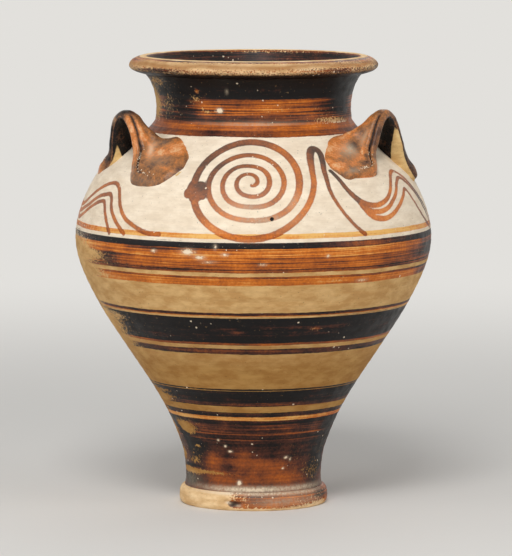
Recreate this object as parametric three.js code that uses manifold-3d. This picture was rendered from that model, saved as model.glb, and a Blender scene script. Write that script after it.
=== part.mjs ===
// A painted clay storage jar on a narrow stem, with three upright arched handles on its shoulder.
// The jar is built as a potter builds one: ring sections thrown in stages and luted together, then
// a lip and three handles added. Millimetres, +Z up. The origin is the middle of the resting face.

import * as THREE from "three";
import { mergeVertices } from "three/addons/utils/BufferGeometryUtils.js";
import Module from "manifold-3d";

const wasm = await Module();
wasm.setup();

// Driving dimensions
const HEIGHT = 450;
const AROUND = 48; // facets round the jar
const WALL = 9; // thickness of the thrown wall
const GAP = 0.35; // clear space at each luted joint
const HANDLE_GAP = 0.35; // clear space between a handle's foot and the wall it stands on

// How finely the curves are drawn
const SAMPLES_PER_POINT = 40; // on an outline, for each point that it is drawn through
const WALL_PROBES = 16; // up and down, where the wall's inside is worked out from its outside
const WELD = 1e-4; // vertices closer than this are one

// Outside of the wall as [radius, height], from the top of the foot to the root of the neck
const BODY_OUTLINE = [
  [69.8, 18],
  [68.5, 27],
  [70, 45],
  [73.5, 60],
  [85.8, 90],
  [102.7, 120],
  [129.1, 160],
  [154.4, 200],
  [173.3, 240],
  [178.8, 270],
  [172.9, 300],
  [158.4, 330],
  [143.7, 345],
  [125.6, 360],
  [111.2, 372],
  [103.4, 380],
  [98.9, 386],
];

// Outside of the neck, which flares from its root to the underside of the lip
const NECK_OUTLINE = [
  [98.9, 386],
  [98.1, 400],
  [100.4, 415],
  [105, 426],
  [109.5, 432],
];

// Heights of the luted joints, outside and inside the wall: each joint face is a shallow cone
const JOINTS = {
  foot: { outside: 18, inside: 22 },
  stem: { outside: 124, inside: 128 },
  lowerWall: { outside: 202, inside: 206 },
  belly: { outside: 278, inside: 282 },
  shoulder: { outside: 386, inside: 381 },
  neck: { outside: 432, inside: 436 },
};

// The thrown rings between those joints, and how many steps their outside and inside take
const RINGS = {
  stem: { lower: "foot", upper: "stem", outerSteps: 8, innerSteps: 4 },
  lower_wall: { lower: "stem", upper: "lowerWall", outerSteps: 5, innerSteps: 3 },
  belly: { lower: "lowerWall", upper: "belly", outerSteps: 6, innerSteps: 4 },
  shoulder: { lower: "belly", upper: "shoulder", outerSteps: 11, innerSteps: 7 },
  neck: { lower: "shoulder", upper: "neck", outerSteps: 7, innerSteps: 4 },
};

// The foot is a low disc with a rounded edge, a resting ring and a shallow hollow under it
const FOOT = {
  edge: [
    [72.6, 17],
    [74.4, 13.4],
    [75, 9],
    [74.9, 4.5],
    [73.6, 1],
  ],
  restOuter: 72.4,
  restInner: 50,
  hollowRadius: 46,
  hollowDepth: 3.5,
  floorTop: 14,
  floorRadius: 46,
};

// The lip is a thick roll that hangs out over the neck: its outline from the joint to the mouth
const LIP = {
  outline: [
    [109.8, 432],
    [115, 433.2],
    [121.5, 435.6],
    [125, 438.8],
    [125, 442.4],
    [121.8, 446.2],
    [116, 448.9],
    [110.4, HEIGHT],
    [107.6, 448.6],
    [105.6, 445],
  ],
  stepsPerSpan: 2,
};

// A handle is an upright arch of clay, its two roots side by side on the slope of the shoulder and
// spread wide over it. Sections run from the crown down one leg: the middle, the half width across
// the strap and the half thickness, each as [outward, sideways, up] in the handle's own frame.
// Azimuths run from the front, -Y, towards +X. Askew, in degrees, turns the arch about its own
// upright axis above its roots, which stay on the slope.
// The handles are shaped by hand, so no two legs are quite alike. For each leg, upper and lower are
// the share that its strap keeps of its half width over and under its middle, lift raises its lower
// edge and bow bends it outwards, in millimetres.
const PLAIN_LEG = { upper: 1, lower: 1, lift: 0, bow: 0 };
const HANDLE = {
  places: {
    handle_left: {
      azimuth: -64.5,
      askew: 5,
      minusLeg: { ...PLAIN_LEG, lower: 0.84 },
      plusLeg: { ...PLAIN_LEG, upper: 0.72 },
    },
    handle_right: {
      azimuth: 67.5,
      askew: -5,
      minusLeg: { ...PLAIN_LEG, upper: 1.06, lower: 0.82, lift: 6 },
      plusLeg: { ...PLAIN_LEG, lower: 1.05, bow: 5 },
    },
    handle_back: { azimuth: 181.5, askew: 0, minusLeg: PLAIN_LEG, plusLeg: PLAIN_LEG },
  },
  // Where along a leg, from 0 at the crown to 1 at its tip, each of these comes in and goes out
  upperSpan: [0.06, 0.28, 0.44, 0.66],
  lowerSpan: [0.3, 0.6, 0.85, 1],
  bowSpan: [0.1, 0.5, 0.6, 0.95],
  squareness: 2.5, // exponent of the rounded section
  askewHeights: [346, 364], // where the turn begins and where it is whole
  facets: 18,
  ringsPerLeg: 11,
  sections: [
    { middle: [139.5, 0, 394.3], width: [7, 0, 0], thickness: [0, 0, 5.2] },
    { middle: [138, 10, 390.6], width: [8.2, 0, -0.8], thickness: [0, 3.6, 4.2] },
    { middle: [135.3, 17, 383], width: [10.5, 0, -2], thickness: [0, 5.2, 2.4] },
    { middle: [131.5, 21.5, 374.8], width: [13.5, 0, -5], thickness: [0, 5.8, 2] },
    { middle: [128.5, 26, 366], width: [16.5, 0, -10], thickness: [1, 6.2, 2.6] },
    { middle: [128, 32, 357], width: [20.5, 0, -16], thickness: [3, 6.5, 5] },
    { middle: [127.5, 42, 350], width: [24.5, 0, -20.5], thickness: [5, 6, 7] },
    { middle: [123, 60, 346.6], width: [23, 0, -18.5], thickness: [3.8, 4.5, 5.8] },
    { middle: [119.5, 73, 343.2], width: [18, 0, -14], thickness: [3.6, 3.8, 4.8] },
    { middle: [115, 82, 335], width: [8, 0, -6], thickness: [3, 3.5, 4] },
  ],
};

// The skin that the handles are cut to: the wall above the belly and the neck over it
const SKIN = { wallSteps: 24, neckSteps: 6, rootRise: 1 };

const UP = new THREE.Vector3(0, 0, 1);

// Fired clay and paint, one colour for each section's main tone
const FINISHES = {
  foot: { color: 0xb98a5c, roughness: 0.75 },
  stem: { color: 0x5e3520, roughness: 0.5 },
  lower_wall: { color: 0xc9a26c, roughness: 0.8 },
  belly: { color: 0xb9793f, roughness: 0.6 },
  shoulder: { color: 0xeee0c4, roughness: 0.75 },
  neck: { color: 0x5a2f1c, roughness: 0.45 },
  lip: { color: 0xd3b080, roughness: 0.7 },
  handle: { color: 0x7c4a30, roughness: 0.5 },
};

// A smooth outline through hand-chosen points, read by height
function outlineCurve(points) {
  const samples = new THREE.SplineCurve(points.map(([r, z]) => new THREE.Vector2(r, z)))
    .getPoints(SAMPLES_PER_POINT * points.length);
  return (height) => {
    let i = 1;
    while (i < samples.length - 1 && samples[i].y < height) i += 1;
    const a = samples[i - 1];
    const b = samples[i];
    const share = THREE.MathUtils.clamp((height - a.y) / (b.y - a.y), 0, 1);
    return a.x + (b.x - a.x) * share;
  };
}

const bodyRadius = outlineCurve(BODY_OUTLINE);
const neckRadius = outlineCurve(NECK_OUTLINE);
const NECK_ROOT = BODY_OUTLINE.at(-1)[1];
const BODY_BOTTOM = BODY_OUTLINE[0][1];

function outerRadius(height) {
  return height < NECK_ROOT ? bodyRadius(height) : neckRadius(height);
}

// The wall's inside at a height: the largest radius that stays a wall's thickness from the outside
function innerRadius(height) {
  let radius = Infinity;
  for (let probe = -WALL_PROBES; probe <= WALL_PROBES; probe += 1) {
    const turn = (probe / WALL_PROBES) * (Math.PI / 2);
    const reach = height + WALL * Math.sin(turn);
    const bounded = THREE.MathUtils.clamp(reach, BODY_BOTTOM, JOINTS.neck.outside);
    radius = Math.min(radius, outerRadius(bounded) - WALL * Math.cos(turn));
  }
  return radius;
}

// Points of a wall between two heights, the first and last included
function wallPoints(radiusAt, from, to, steps) {
  const points = [];
  for (let i = 0; i <= steps; i += 1) {
    const height = from + ((to - from) * i) / steps;
    points.push(new THREE.Vector2(radiusAt(height), height));
  }
  return points;
}

// A closed profile, counter-clockwise in (radius, height), turned round the jar's axis
function turned(points) {
  const closed = [...points, points[0].clone()];
  const geometry = new THREE.LatheGeometry(closed, AROUND);
  geometry.rotateX(Math.PI / 2);
  return solidOf(geometry);
}

// A ring of wall between two joints
function wallRing(ring) {
  const lower = JOINTS[ring.lower];
  const upper = JOINTS[ring.upper];
  const outside = wallPoints(outerRadius, lower.outside + GAP, upper.outside, ring.outerSteps);
  const inside = wallPoints(innerRadius, upper.inside, lower.inside + GAP, ring.innerSteps);
  return turned([...outside, ...inside]);
}

// The foot: floor, resting ring and rounded edge
function footDisc() {
  const joint = JOINTS.foot;
  const bottom = new THREE.Vector2(0, FOOT.hollowDepth);
  return turned([
    bottom,
    new THREE.Vector2(FOOT.hollowRadius, FOOT.hollowDepth),
    new THREE.Vector2(FOOT.restInner, 0),
    new THREE.Vector2(FOOT.restOuter, 0),
    ...FOOT.edge.map(([r, z]) => new THREE.Vector2(r, z)).reverse(),
    new THREE.Vector2(outerRadius(joint.outside), joint.outside),
    new THREE.Vector2(innerRadius(joint.inside), joint.inside),
    new THREE.Vector2(FOOT.floorRadius, FOOT.floorTop),
    new THREE.Vector2(0, FOOT.floorTop),
  ]);
}

// The lip: a roll whose inside carries on the flare of the neck
function lipRoll() {
  const curve = new THREE.SplineCurve(LIP.outline.map(([r, z]) => new THREE.Vector2(r, z)));
  const outline = curve.getPoints(LIP.stepsPerSpan * (LIP.outline.length - 1));
  outline[0].y += GAP;
  const joint = JOINTS.neck;
  const root = new THREE.Vector2(innerRadius(joint.inside), joint.inside + GAP);
  return turned([...outline, root]);
}

// A closed three.js geometry as a solid, with its shared vertices merged
function solidOf(geometry) {
  geometry.deleteAttribute("normal");
  geometry.deleteAttribute("uv");
  const merged = mergeVertices(geometry, WELD);
  const mesh = new wasm.Mesh({
    numProp: 3,
    vertProperties: merged.attributes.position.array,
    triVerts: new Uint32Array(merged.index.array),
  });
  return new wasm.Manifold(mesh);
}

// A smooth track through one vector of the handle's sections, mirrored for the second leg
function sectionTrack(key) {
  const leg = HANDLE.sections.map((section) => new THREE.Vector3(...section[key]));
  const mirrored = leg.slice(1).map((v) => new THREE.Vector3(v.x, -v.y, v.z));
  return new THREE.CatmullRomCurve3([...mirrored.reverse(), ...leg], false, "catmullrom", 0.5);
}

// How much of a change a leg has at a place along it: it comes in, holds and goes out smoothly
function share(along, [begins, whole, fades, ends]) {
  const { smoothstep } = THREE.MathUtils;
  return smoothstep(along, begins, whole) * (1 - smoothstep(along, fades, ends));
}

// The handle before its foot is cut to the shoulder: rings of a rounded section joined end to end
function handleArch({ askew, minusLeg, plusLeg }) {
  const middle = sectionTrack("middle");
  const width = sectionTrack("width");
  const thickness = sectionTrack("thickness");
  const axis = new THREE.Vector3(HANDLE.sections[0].middle[0], 0, 0);
  const rings = 2 * HANDLE.ringsPerLeg;
  const around = HANDLE.facets;
  const positions = [];
  for (let ring = 0; ring <= rings; ring += 1) {
    const along = ring / rings;
    const centre = middle.getPoint(along);
    const across = width.getPoint(along);
    const through = thickness.getPoint(along);
    const leg = along > 0.5 ? plusLeg : minusLeg;
    const place = Math.abs(2 * along - 1);
    const upper = 1 + (leg.upper - 1) * share(place, HANDLE.upperSpan);
    const lower = 1 + (leg.lower - 1) * share(place, HANDLE.lowerSpan);
    const lift = leg.lift * share(place, HANDLE.lowerSpan);
    centre.x += leg.bow * share(place, HANDLE.bowSpan);
    for (let i = 0; i < around; i += 1) {
      const angle = (2 * Math.PI * i) / around;
      const c = roundedCosine(Math.cos(angle));
      const s = roundedCosine(Math.sin(angle));
      const reach = c * (c < 0 ? upper : lower);
      const point = centre.clone().addScaledVector(across, reach).addScaledVector(through, s);
      point.z += lift * Math.max(c, 0) ** 2;
      const askewTurn = THREE.MathUtils.degToRad(askew);
      const turn = askewTurn * THREE.MathUtils.smoothstep(point.z, ...HANDLE.askewHeights);
      point.sub(axis).applyAxisAngle(UP, turn).add(axis);
      positions.push(point.x, point.y, point.z);
    }
  }
  const index = [];
  for (let ring = 0; ring < rings; ring += 1) {
    for (let i = 0; i < around; i += 1) {
      const a = ring * around + i;
      const b = ring * around + ((i + 1) % around);
      index.push(a, a + around, b, b, a + around, b + around);
    }
  }
  const last = rings * around;
  for (let i = 1; i < around - 1; i += 1) {
    index.push(0, i, i + 1);
    index.push(last, last + i + 1, last + i);
  }
  const geometry = new THREE.BufferGeometry();
  geometry.setAttribute("position", new THREE.Float32BufferAttribute(positions, 3));
  geometry.setIndex(index);
  return geometry;
}

// Superellipse coordinate: squares up a round section
function roundedCosine(value) {
  return Math.sign(value) * Math.abs(value) ** (2 / HANDLE.squareness);
}

// Everything inside the jar's outer skin, grown by the handle gap
function jarSkin() {
  const low = JOINTS.belly.outside;
  const high = JOINTS.neck.outside;
  const grown = (height) => outerRadius(height) + HANDLE_GAP;
  const wall = wallPoints(grown, low, NECK_ROOT, SKIN.wallSteps);
  const neck = wallPoints(grown, NECK_ROOT + SKIN.rootRise, high, SKIN.neckSteps);
  return turned([new THREE.Vector2(0, low), ...wall, ...neck, new THREE.Vector2(0, high)]);
}

function meshFrom(solid, name, finish) {
  const { vertProperties, triVerts } = solid.getMesh();
  const geometry = new THREE.BufferGeometry();
  geometry.setAttribute("position", new THREE.Float32BufferAttribute(vertProperties, 3));
  geometry.setIndex(new THREE.Uint32BufferAttribute(triVerts, 1));
  geometry.computeVertexNormals();
  const material = new THREE.MeshStandardMaterial({ ...finish, metalness: 0 });
  const mesh = new THREE.Mesh(geometry, material);
  mesh.name = name;
  return mesh;
}

const jar = new THREE.Group();
jar.add(meshFrom(footDisc(), "foot", FINISHES.foot));
for (const [name, ring] of Object.entries(RINGS)) {
  jar.add(meshFrom(wallRing(ring), name, FINISHES[name]));
}
jar.add(meshFrom(lipRoll(), "lip", FINISHES.lip));

const skin = jarSkin();
for (const [name, place] of Object.entries(HANDLE.places)) {
  const arch = handleArch(place);
  arch.rotateZ(THREE.MathUtils.degToRad(place.azimuth - 90));
  jar.add(meshFrom(solidOf(arch).subtract(skin), name, FINISHES.handle));
}

export default jar;
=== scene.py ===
"""A wheel-made clay storage jar with painted bands, spirals and three arched handles.

Sizes are in millimetres unless a property says otherwise, azimuths in degrees from the front (-Y)
towards +X, and heights above the resting face. The jar's pieces are turned as a potter turns
them, from one outline, so that their painted skins meet at the joints.
"""

import math

import bpy
import numpy as np
from bpy.props import FloatProperty, FloatVectorProperty, IntProperty, PointerProperty
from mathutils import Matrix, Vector, noise


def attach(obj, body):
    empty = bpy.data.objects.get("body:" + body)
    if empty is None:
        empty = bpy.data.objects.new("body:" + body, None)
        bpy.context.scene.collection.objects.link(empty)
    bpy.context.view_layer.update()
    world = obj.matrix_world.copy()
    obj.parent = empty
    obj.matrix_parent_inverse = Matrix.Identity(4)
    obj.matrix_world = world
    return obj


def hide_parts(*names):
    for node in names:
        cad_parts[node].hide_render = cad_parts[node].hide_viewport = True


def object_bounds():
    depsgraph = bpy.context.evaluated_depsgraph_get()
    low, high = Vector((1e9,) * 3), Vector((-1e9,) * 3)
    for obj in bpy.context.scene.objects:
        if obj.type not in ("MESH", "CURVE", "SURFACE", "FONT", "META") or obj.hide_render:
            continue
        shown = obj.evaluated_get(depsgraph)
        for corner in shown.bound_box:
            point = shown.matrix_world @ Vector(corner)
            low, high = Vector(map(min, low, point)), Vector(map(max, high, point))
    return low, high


bl_info = {
    "name": "Painted storage jar",
    "version": (1, 1, 0),
    "blender": (4, 5, 0),
    "location": "3D View > Sidebar > Jar",
    "description": "Models a wheel-made clay storage jar with slip-painted bands and spirals",
    "category": "Add Mesh",
}

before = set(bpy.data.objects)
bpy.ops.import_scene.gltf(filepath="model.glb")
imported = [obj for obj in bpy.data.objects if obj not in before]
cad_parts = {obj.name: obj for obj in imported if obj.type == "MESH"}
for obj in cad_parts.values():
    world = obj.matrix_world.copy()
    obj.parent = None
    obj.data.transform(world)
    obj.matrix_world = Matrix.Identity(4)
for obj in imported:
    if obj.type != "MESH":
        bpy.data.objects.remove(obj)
cad_box = [list(corner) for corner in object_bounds()]

MM = 0.001
WALL = 9.0  # thickness of the thrown wall
HEIGHT = cad_box[1][2] / MM
DOUBLES = 0.01  # vertices closer than this are one

# Outside of the wall as (radius, height), from the top of the foot to the root of the neck
BODY_OUTLINE = (
    (69.8, 18), (68.5, 27), (70, 45), (73.5, 60), (85.8, 90), (102.7, 120),
    (129.1, 160), (154.4, 200), (173.3, 240), (178.8, 270), (172.9, 300), (158.4, 330),
    (143.7, 345), (125.6, 360), (111.2, 372), (103.4, 380), (98.9, 386),
)

# Outside of the neck, from its root to the underside of the lip
NECK_OUTLINE = ((98.9, 386), (98.1, 400), (100.4, 415), (105, 426), (109.5, 432))

# Heights of the luted joints, outside and inside the wall
JOINTS = {
    "foot": (18, 22),
    "stem": (124, 128),
    "lower_wall": (202, 206),
    "belly": (278, 282),
    "shoulder": (386, 381),
    "neck": (432, 436),
}

# The foot, from its hollow underside over the resting ring and the rounded edge to the stem
FOOT_UNDERSIDE = ((0, 3.5), (24, 3.5), (46, 3.5), (50, 0.2), (60, 0))
FOOT_EDGE = (
    (71.8, 0.0), (73.4, 0.9), (74.9, 4.5), (75, 9), (74.4, 13.4), (72.9, 16.4), (71.2, 17.7),
    (69.9, 18.0),
)
FOOT_FLOOR = ((46, 14), (24, 14), (0, 14))
FOOT_RIM = (66, 71)  # its chips begin past the first radius and are whole past the second

# The lip, from the joint under it over the roll to the mouth
LIP_OUTLINE = (
    (109.6, 432), (115, 433.2), (121.5, 435.6), (125, 438.8), (125, 442.4), (121.8, 446.2),
    (116, 448.9), (110.4, 450), (107.6, 448.6), (105.6, 445),
)
LIP_RIM = (118, 122)  # the same for its nicks

# How finely the two rounded edges are drawn, and the extra steps at both ends of a ring
FOOT_EDGE_POINTS, LIP_POINTS = 34, 72
RING_END_STEPS = np.array([0.3, 0.8])

# What hand and wheel leave on the wall: throwing ridges as (depth, spacing, which way they climb),
# a sway out of round as (reach, lobes, the height that turns it by a radian), and how far all of
# it is set back, so that no ridge passes the true outline
THROWING_RIDGES = ((0.1, 8.5, 1), (0.05, 3.1, -1))
OUT_OF_ROUND = ((0.25, 2, 60), (0.15, 3, -41))
WALL_SETBACK = 0.55
STILL_RADIUS, UNEVEN_RADIUS = 5, 40  # between these it fades out towards the jar's axis

# A handle is an upright arch. Sections run from the crown down one leg: the middle, the half width
# across the strap and the half thickness, each as (outward, sideways, up) in its own frame.
HANDLE_SECTIONS = (
    ((139.5, 0, 394.3), (7, 0, 0), (0, 0, 5.2)),
    ((138, 10, 390.6), (8.2, 0, -0.8), (0, 3.6, 4.2)),
    ((135.3, 17, 383), (10.5, 0, -2), (0, 5.2, 2.4)),
    ((131.5, 21.5, 374.8), (13.5, 0, -5), (0, 5.8, 2)),
    ((128.5, 26, 366), (16.5, 0, -10), (1, 6.2, 2.6)),
    ((128, 32, 357), (20.5, 0, -16), (3, 6.5, 5)),
    ((127.5, 42, 350), (24.5, 0, -20.5), (5, 6, 7)),
    ((123, 60, 346.6), (23, 0, -18.5), (3.8, 4.5, 5.8)),
    ((119.5, 73, 343.2), (18, 0, -14), (3.6, 3.8, 4.8)),
    ((115, 82, 335), (8, 0, -6), (3, 3.5, 4)),
)
HANDLE_SQUARENESS = 2.5
HANDLE_RINGS, HANDLE_FACETS = 180, 180
BALL_RADIUS = 100  # of the ball that a handle is bent from
ASKEW_FROM = 346.0  # height where a handle's turn about its own upright axis begins
ASKEW_TO = 364.0  # and where it is whole

# The handles are shaped by hand, so no two legs are quite alike. For each leg: the share that the
# strap keeps of its half width over and under its middle, how far its lower edge is raised, and
# how far it bends outwards.
PLAIN_LEG = (1.0, 1.0, 0.0, 0.0)
HANDLES = {
    "handle_left": {
        "azimuth": -64.5, "askew": 5,
        "minus_leg": (1.0, 0.84, 0.0, 0.0), "plus_leg": (0.72, 1.0, 0.0, 0.0),
    },
    "handle_right": {
        "azimuth": 67.5, "askew": -5,
        "minus_leg": (1.06, 0.82, 6.0, 0.0), "plus_leg": (1.0, 1.05, 0.0, 5.0),
    },
    "handle_back": {
        "azimuth": 181.5, "askew": 0, "minus_leg": PLAIN_LEG, "plus_leg": PLAIN_LEG,
    },
}

# Where along a leg, from 0 at the crown to 1 at its tip, those changes come in and go out
UPPER_SPAN = (0.06, 0.28, 0.44, 0.66)
LOWER_SPAN = (0.3, 0.6, 0.85, 1.0)
BOW_SPAN = (0.1, 0.5, 0.6, 0.95)

# How thick the slip paint lies, from 0 to 1: it fires from ochre where thin to black
WASH, DARK, BLACK = 0.08, 0.84, 0.97
BARE = -1.0  # no paint at all

# The painted bands as (height of the lower edge, paint, how streaky), from the foot up
BANDS = (
    (0, 0.66, 0.12), (34, 0.68, 0.12), (51, 0.72, 0.14), (63, 0.76, 0.2), (71, 0.6, 0.5),
    (72.2, 0.8, 0.4), (76.9, 0.56, 0.5), (78.3, 0.74, 0.7), (88, 0.86, 0.6), (92.3, 0.2, 0.5),
    (96.2, 0.82, 0.5), (100.7, BARE, 0), (107.2, 0.72, 0.7), (111, 0.94, 0.5), (124.6, BARE, 0),
    (163.9, 0.78, 0.5), (169.6, BARE, 0), (173.3, 0.5, 0.6), (175.6, BLACK, 0.5),
    (202.2, BARE, 0), (203.9, 0.3, 0.6), (204.7, 0.76, 0.5), (207.8, BARE, 0),
    (235.4, 0.3, 0.5), (242.2, 0.5, 0.7), (244.4, BARE, 0), (248.4, 0.5, 0.8), (250.8, 0.72, 0.8),
    (252, 0.4, 0.8), (257.4, 0.52, 1), (259, 0.38, 0.9), (262.3, 0.5, 1), (263.4, 0.36, 0.9),
    (268.6, 0.26, 0.8), (270, 0.4, 0.9), (272.1, 0.9, 0.4), (277.9, BARE, 0), (281.6, WASH, 0.5),
    (286.4, BARE, 0),
    (374.9, 0.62, 0.3), (381, 0.48, 0.5), (388.8, 0.66, 1), (396, 0.5, 1.2), (404, 0.54, 1.2),
    (411.6, BLACK, 0.3),
)

# Bands on the lip and the foot, by length along their skin in place of height
LIP_BANDS = (
    (-5, BLACK, 0.4), (15.4, 0.72, 0.8), (17.4, 0.6, 1), (21, 0.5, 1), (30.5, 0.6, 1),
    (33.5, BARE, 0), (40.5, 0.7, 0.8), (42.4, 0.84, 0.8),
)
FOOT_BANDS = (
    (-80, BARE, 0), (0.5, BARE, 0), (3.4, 0.42, 0.5), (9.5, 0.52, 0.6), (13.6, 0.42, 0.6),
    (14.8, 0.66, 0.6), (16.2, 0.46, 0.5), (18.6, 0.62, 0.5), (19.4, 0.54, 0.3),
)

# How far the edge of a band wanders over a long way and over a short one
SWAY_REACH, FRILL_REACH = 1.6, 0.9
BAND_MARGIN = 2  # so the bands of a ring are known this far past its joints

# Clay under the paint, as (height, colour): tan low down, buff above, cream slip on the shoulder
CLAY_TONES = (
    (0, "tan"), (145, "tan"), (190, "buff"), (271, "buff"), (275, "slip"), (385, "slip"),
    (389, "buff"), (440, "buff"),
)
# On the lip the pale bands at heights 440 and 449 are rubbed-bare edge with a painted highlight along
# the roll
LIP_TONES = (
    (0, "worn_lip"), (436, "worn_lip"), (440, "worn_edge_and_highlight"), (444, "worn_lip"), (449, "worn_edge_and_highlight"),
)
FOOT_TONES = ((0, "worn_edge_and_highlight"),)
INSIDE_TONES = ((0, "tan"), (HEIGHT, "buff"))
# The handles' clay: buff low down, and above it a darker, yellower copy of the slip that is painted
# shade inside the arch
HANDLE_CLAY_TONES = ((0, "buff"), (380, "shaded_slip"))

# What paint fires to, as (how thick it lies, colour), on the wall and on the handles
PAINT_TONES = (
    (0, "wash"), (0.3, "orange"), (0.5, "red_brown"), (0.7, "brown"), (0.88, "black"),
)
FILM_TONES = (
    (0, "peach_film"), (0.22, "orange_film"), (0.46, "tan_film"), (0.72, "brown_film"), (1, "black"),
)

# How deep the fire stains bare clay, painted clay and the slip of the shoulder, as the colour that
# multiplies theirs, and the shade in a pit
BARE_STAIN, WALL_STAIN, SLIP_STAIN = "EEDDCC", "F0E2D0", "FBF7F2"
PIT_SHADE = "0A0808"

# Sizes of the marks in clay and paint, in millimetres
FIRE_WANDER = 45  # the clay's tones wander up and down over this length
WANDER_REACH = 8  # and by this much
FIRE_MOTTLE = 8
FIRE_BLOTCH = 22  # where paint fired darker or redder
FILM_BLOTCH = 8  # the same on the handles
WHEEL_STREAK = 1.5  # height of the streaks in smoothed clay
FINGER_MARK = 2.5  # height of the marks of throwing inside
GRIT = 1.7
HAND_SWAY = 55  # length of the slow and the quick wander of a band's edge
EDGE_FRILL = 5
FILM_FRILL = 4
BRISTLE = 1.25  # drawn coarser than real bristles, which would be too fine to show
BRUSH_SWEEP = 4.5
PAINT_GRAIN = 2.4
FILM_GRAIN = 2
WORN_GRAIN = 2.2  # spots in which paint wears off
LIP_WORN_GRAIN = 1.6
CHIP_SPACING = 5
HANDLE_CHIP_SPACING = 1.9
CHIP_CLUSTER = 40
CHIP_BEND = 1.4  # how finely the chips' outlines are bent
GLOSS_PATCH = 9
SKIN_GRAIN = 0.9  # fine roughness of the fired skin

# How many times longer than high the marks of brush and wheel are, and the mottle of the fire
STRETCH, MOTTLE_STRETCH = 75, 2.5

# What most values of a noise lie between
SPREAD = (0.3, 0.7)

# Roughness of bare clay, and of the glossiest and the dullest patches of the paint
CLAY_ROUGHNESS = 0.78
PAINT_SHINE, HANDLE_SHINE = (0.34, 0.56), (0.22, 0.42)

# Fine relief in millimetres
SKIN_RELIEF = 0.06
FINGER_RELIEF = 0.2
BRISTLE_RELIEF = 0.08
PAINT_THICKNESS = 0.05
CHIP_DEPTH = 0.25
FILM_RELIEF = 0.12
HANDLE_CHIP_DEPTH = 0.2

# One spiral: its radius on the slope at each eighth of a turn, from the middle outwards
SPIRAL_RADII = (
    2.5, 6, 9, 11, 12.7, 13.4, 14.1, 14.9,
    17.4, 18.7, 20, 20.3, 23.7, 27, 29, 27.5,
    31.2, 33.1, 32.3, 32.8, 35, 41, 44.2, 43.8,
    48, 48.6, 47.9, 47.6, 48.4, 55.8, 63.8, 67,
    63.5, 63.6,
)
SPIRAL_START = -45  # degrees, where the first radius lies, from the right and anticlockwise
SPIRAL_CENTRE = (-1.15, 334.0)  # azimuth and height in the front panel
SLOPE_LENGTH = 1.28  # millimetres along the shoulder for each one of height
SPIRAL_WIDTHS = (4.6, 4.6, 5, 5.6, 5.2, 5.6, 6.4, 5.4, 9, 7.4, 6.2)

# The hook that the spiral ends in, as (azimuth, height, width)
HOOK = (
    (23, 341, 6.2), (23.8, 347.5, 6.8), (24.8, 354, 7.6), (26.3, 360, 8), (28.2, 363.8, 8),
    (30.4, 363.8, 7.6), (31.2, 359.6, 7), (30.2, 353, 6.4), (28.8, 346, 5.8), (28, 338.5, 5.2),
    (27.6, 330.5, 4.8), (28, 323, 4.4), (29.1, 315, 4.2), (30.6, 307, 4), (32.6, 299, 4),
    (35, 291, 4), (38, 283.5, 4.4),
)

# The strokes under the right handle, as (azimuth, height, width): one thick start, three lines
RIGHT_START = (
    (31.4, 344, 4.6), (32.8, 337, 5.2), (34.2, 329, 5.4), (36, 322, 6), (38.5, 315, 7.4),
)
RIGHT_LINES = (
    ((38.5, 315, 6.6), (41.5, 311.5, 6), (46, 310, 5.4), (50.9, 313.5, 4.8), (54.8, 320, 4.4),
     (58.2, 329, 4.4), (61.5, 336, 4.2), (65.8, 339, 4.2), (70, 334, 4), (75, 322, 4),
     (80, 306, 4), (85, 290, 4), (88, 281, 4)),
    ((38.5, 313, 5.6), (41.8, 305.5, 5.6), (46, 303.6, 5.4), (50.5, 306, 4.8), (54.5, 312, 4.4),
     (58.5, 319, 4.2), (62, 327.5, 4.2), (66.4, 332.5, 4), (70.6, 327, 4), (75.5, 314, 4),
     (79, 300, 4), (82.5, 288, 4), (84.5, 281, 4)),
    ((38.8, 310, 4.6), (41.9, 300.5, 5.6), (45.2, 297.2, 6), (49, 297, 5.2), (53.3, 301, 4.6),
     (58.5, 308.5, 4.2), (63, 316, 4), (66.6, 321.5, 4), (69.4, 311, 4), (72.2, 299, 4),
     (76.5, 288, 4), (81.6, 280, 4)),
)

# The strokes under the left handle, whose start lies round the side
LEFT_START = ((-100, 344.5, 4.4), (-98.4, 336, 5), (-96.5, 326, 5.4), (-93.5, 315, 6.8))
LEFT_LINES = (
    ((-93.5, 313, 6), (-89, 306, 5.6), (-83, 303, 5), (-78, 307, 4.6), (-73.2, 314.5, 4.6),
     (-67.5, 322.6, 4.6), (-62.6, 327.4, 4.6), (-58.4, 328.6, 4.6), (-55.2, 325, 4.6),
     (-53.2, 319, 4.6), (-51.4, 311.5, 4.6), (-49.2, 304, 4.6), (-46.4, 297, 4.6),
     (-43, 292, 4.6), (-39.2, 287.6, 4.6), (-35.6, 284.8, 4.8), (-31.5, 284.2, 5)),
    ((-93.6, 310, 5.4), (-88.5, 300, 5.4), (-82.5, 297, 4.8), (-77, 301, 4.6), (-72.9, 305, 4.6),
     (-69, 310.6, 4.6), (-65.4, 315, 4.6), (-61.7, 317, 4.6), (-58.9, 318, 4.6),
     (-56.9, 314, 4.6), (-55.2, 306, 4.6), (-53, 299, 4.6), (-50.2, 292, 4.4),
     (-47.9, 287, 4.4), (-45.8, 282, 4.4)),
    ((-93.4, 306, 4.4), (-88.5, 295, 5), (-82, 290.6, 4.6), (-77, 294, 4.2), (-73, 299, 4.2),
     (-69.2, 304, 4.2), (-65, 308.8, 4.4), (-61.2, 310.6, 4.4), (-59.4, 306, 4.4),
     (-57.6, 299, 4.4), (-55.4, 291, 4.4), (-53.9, 285, 4.2), (-53, 281, 4)),
)

# The smear on the left of the front spiral, where the brush was set down, as small round dabs
SMEAR = (
    (-22.4, 325, 12), (-21.4, 330, 13), (-20, 327, 15), (-18.2, 328, 12), (-20.4, 320.5, 11),
    (-22.9, 323, 8), (-18, 322, 8), (-22, 333, 8), (-19.4, 332.4, 9),
)

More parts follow.
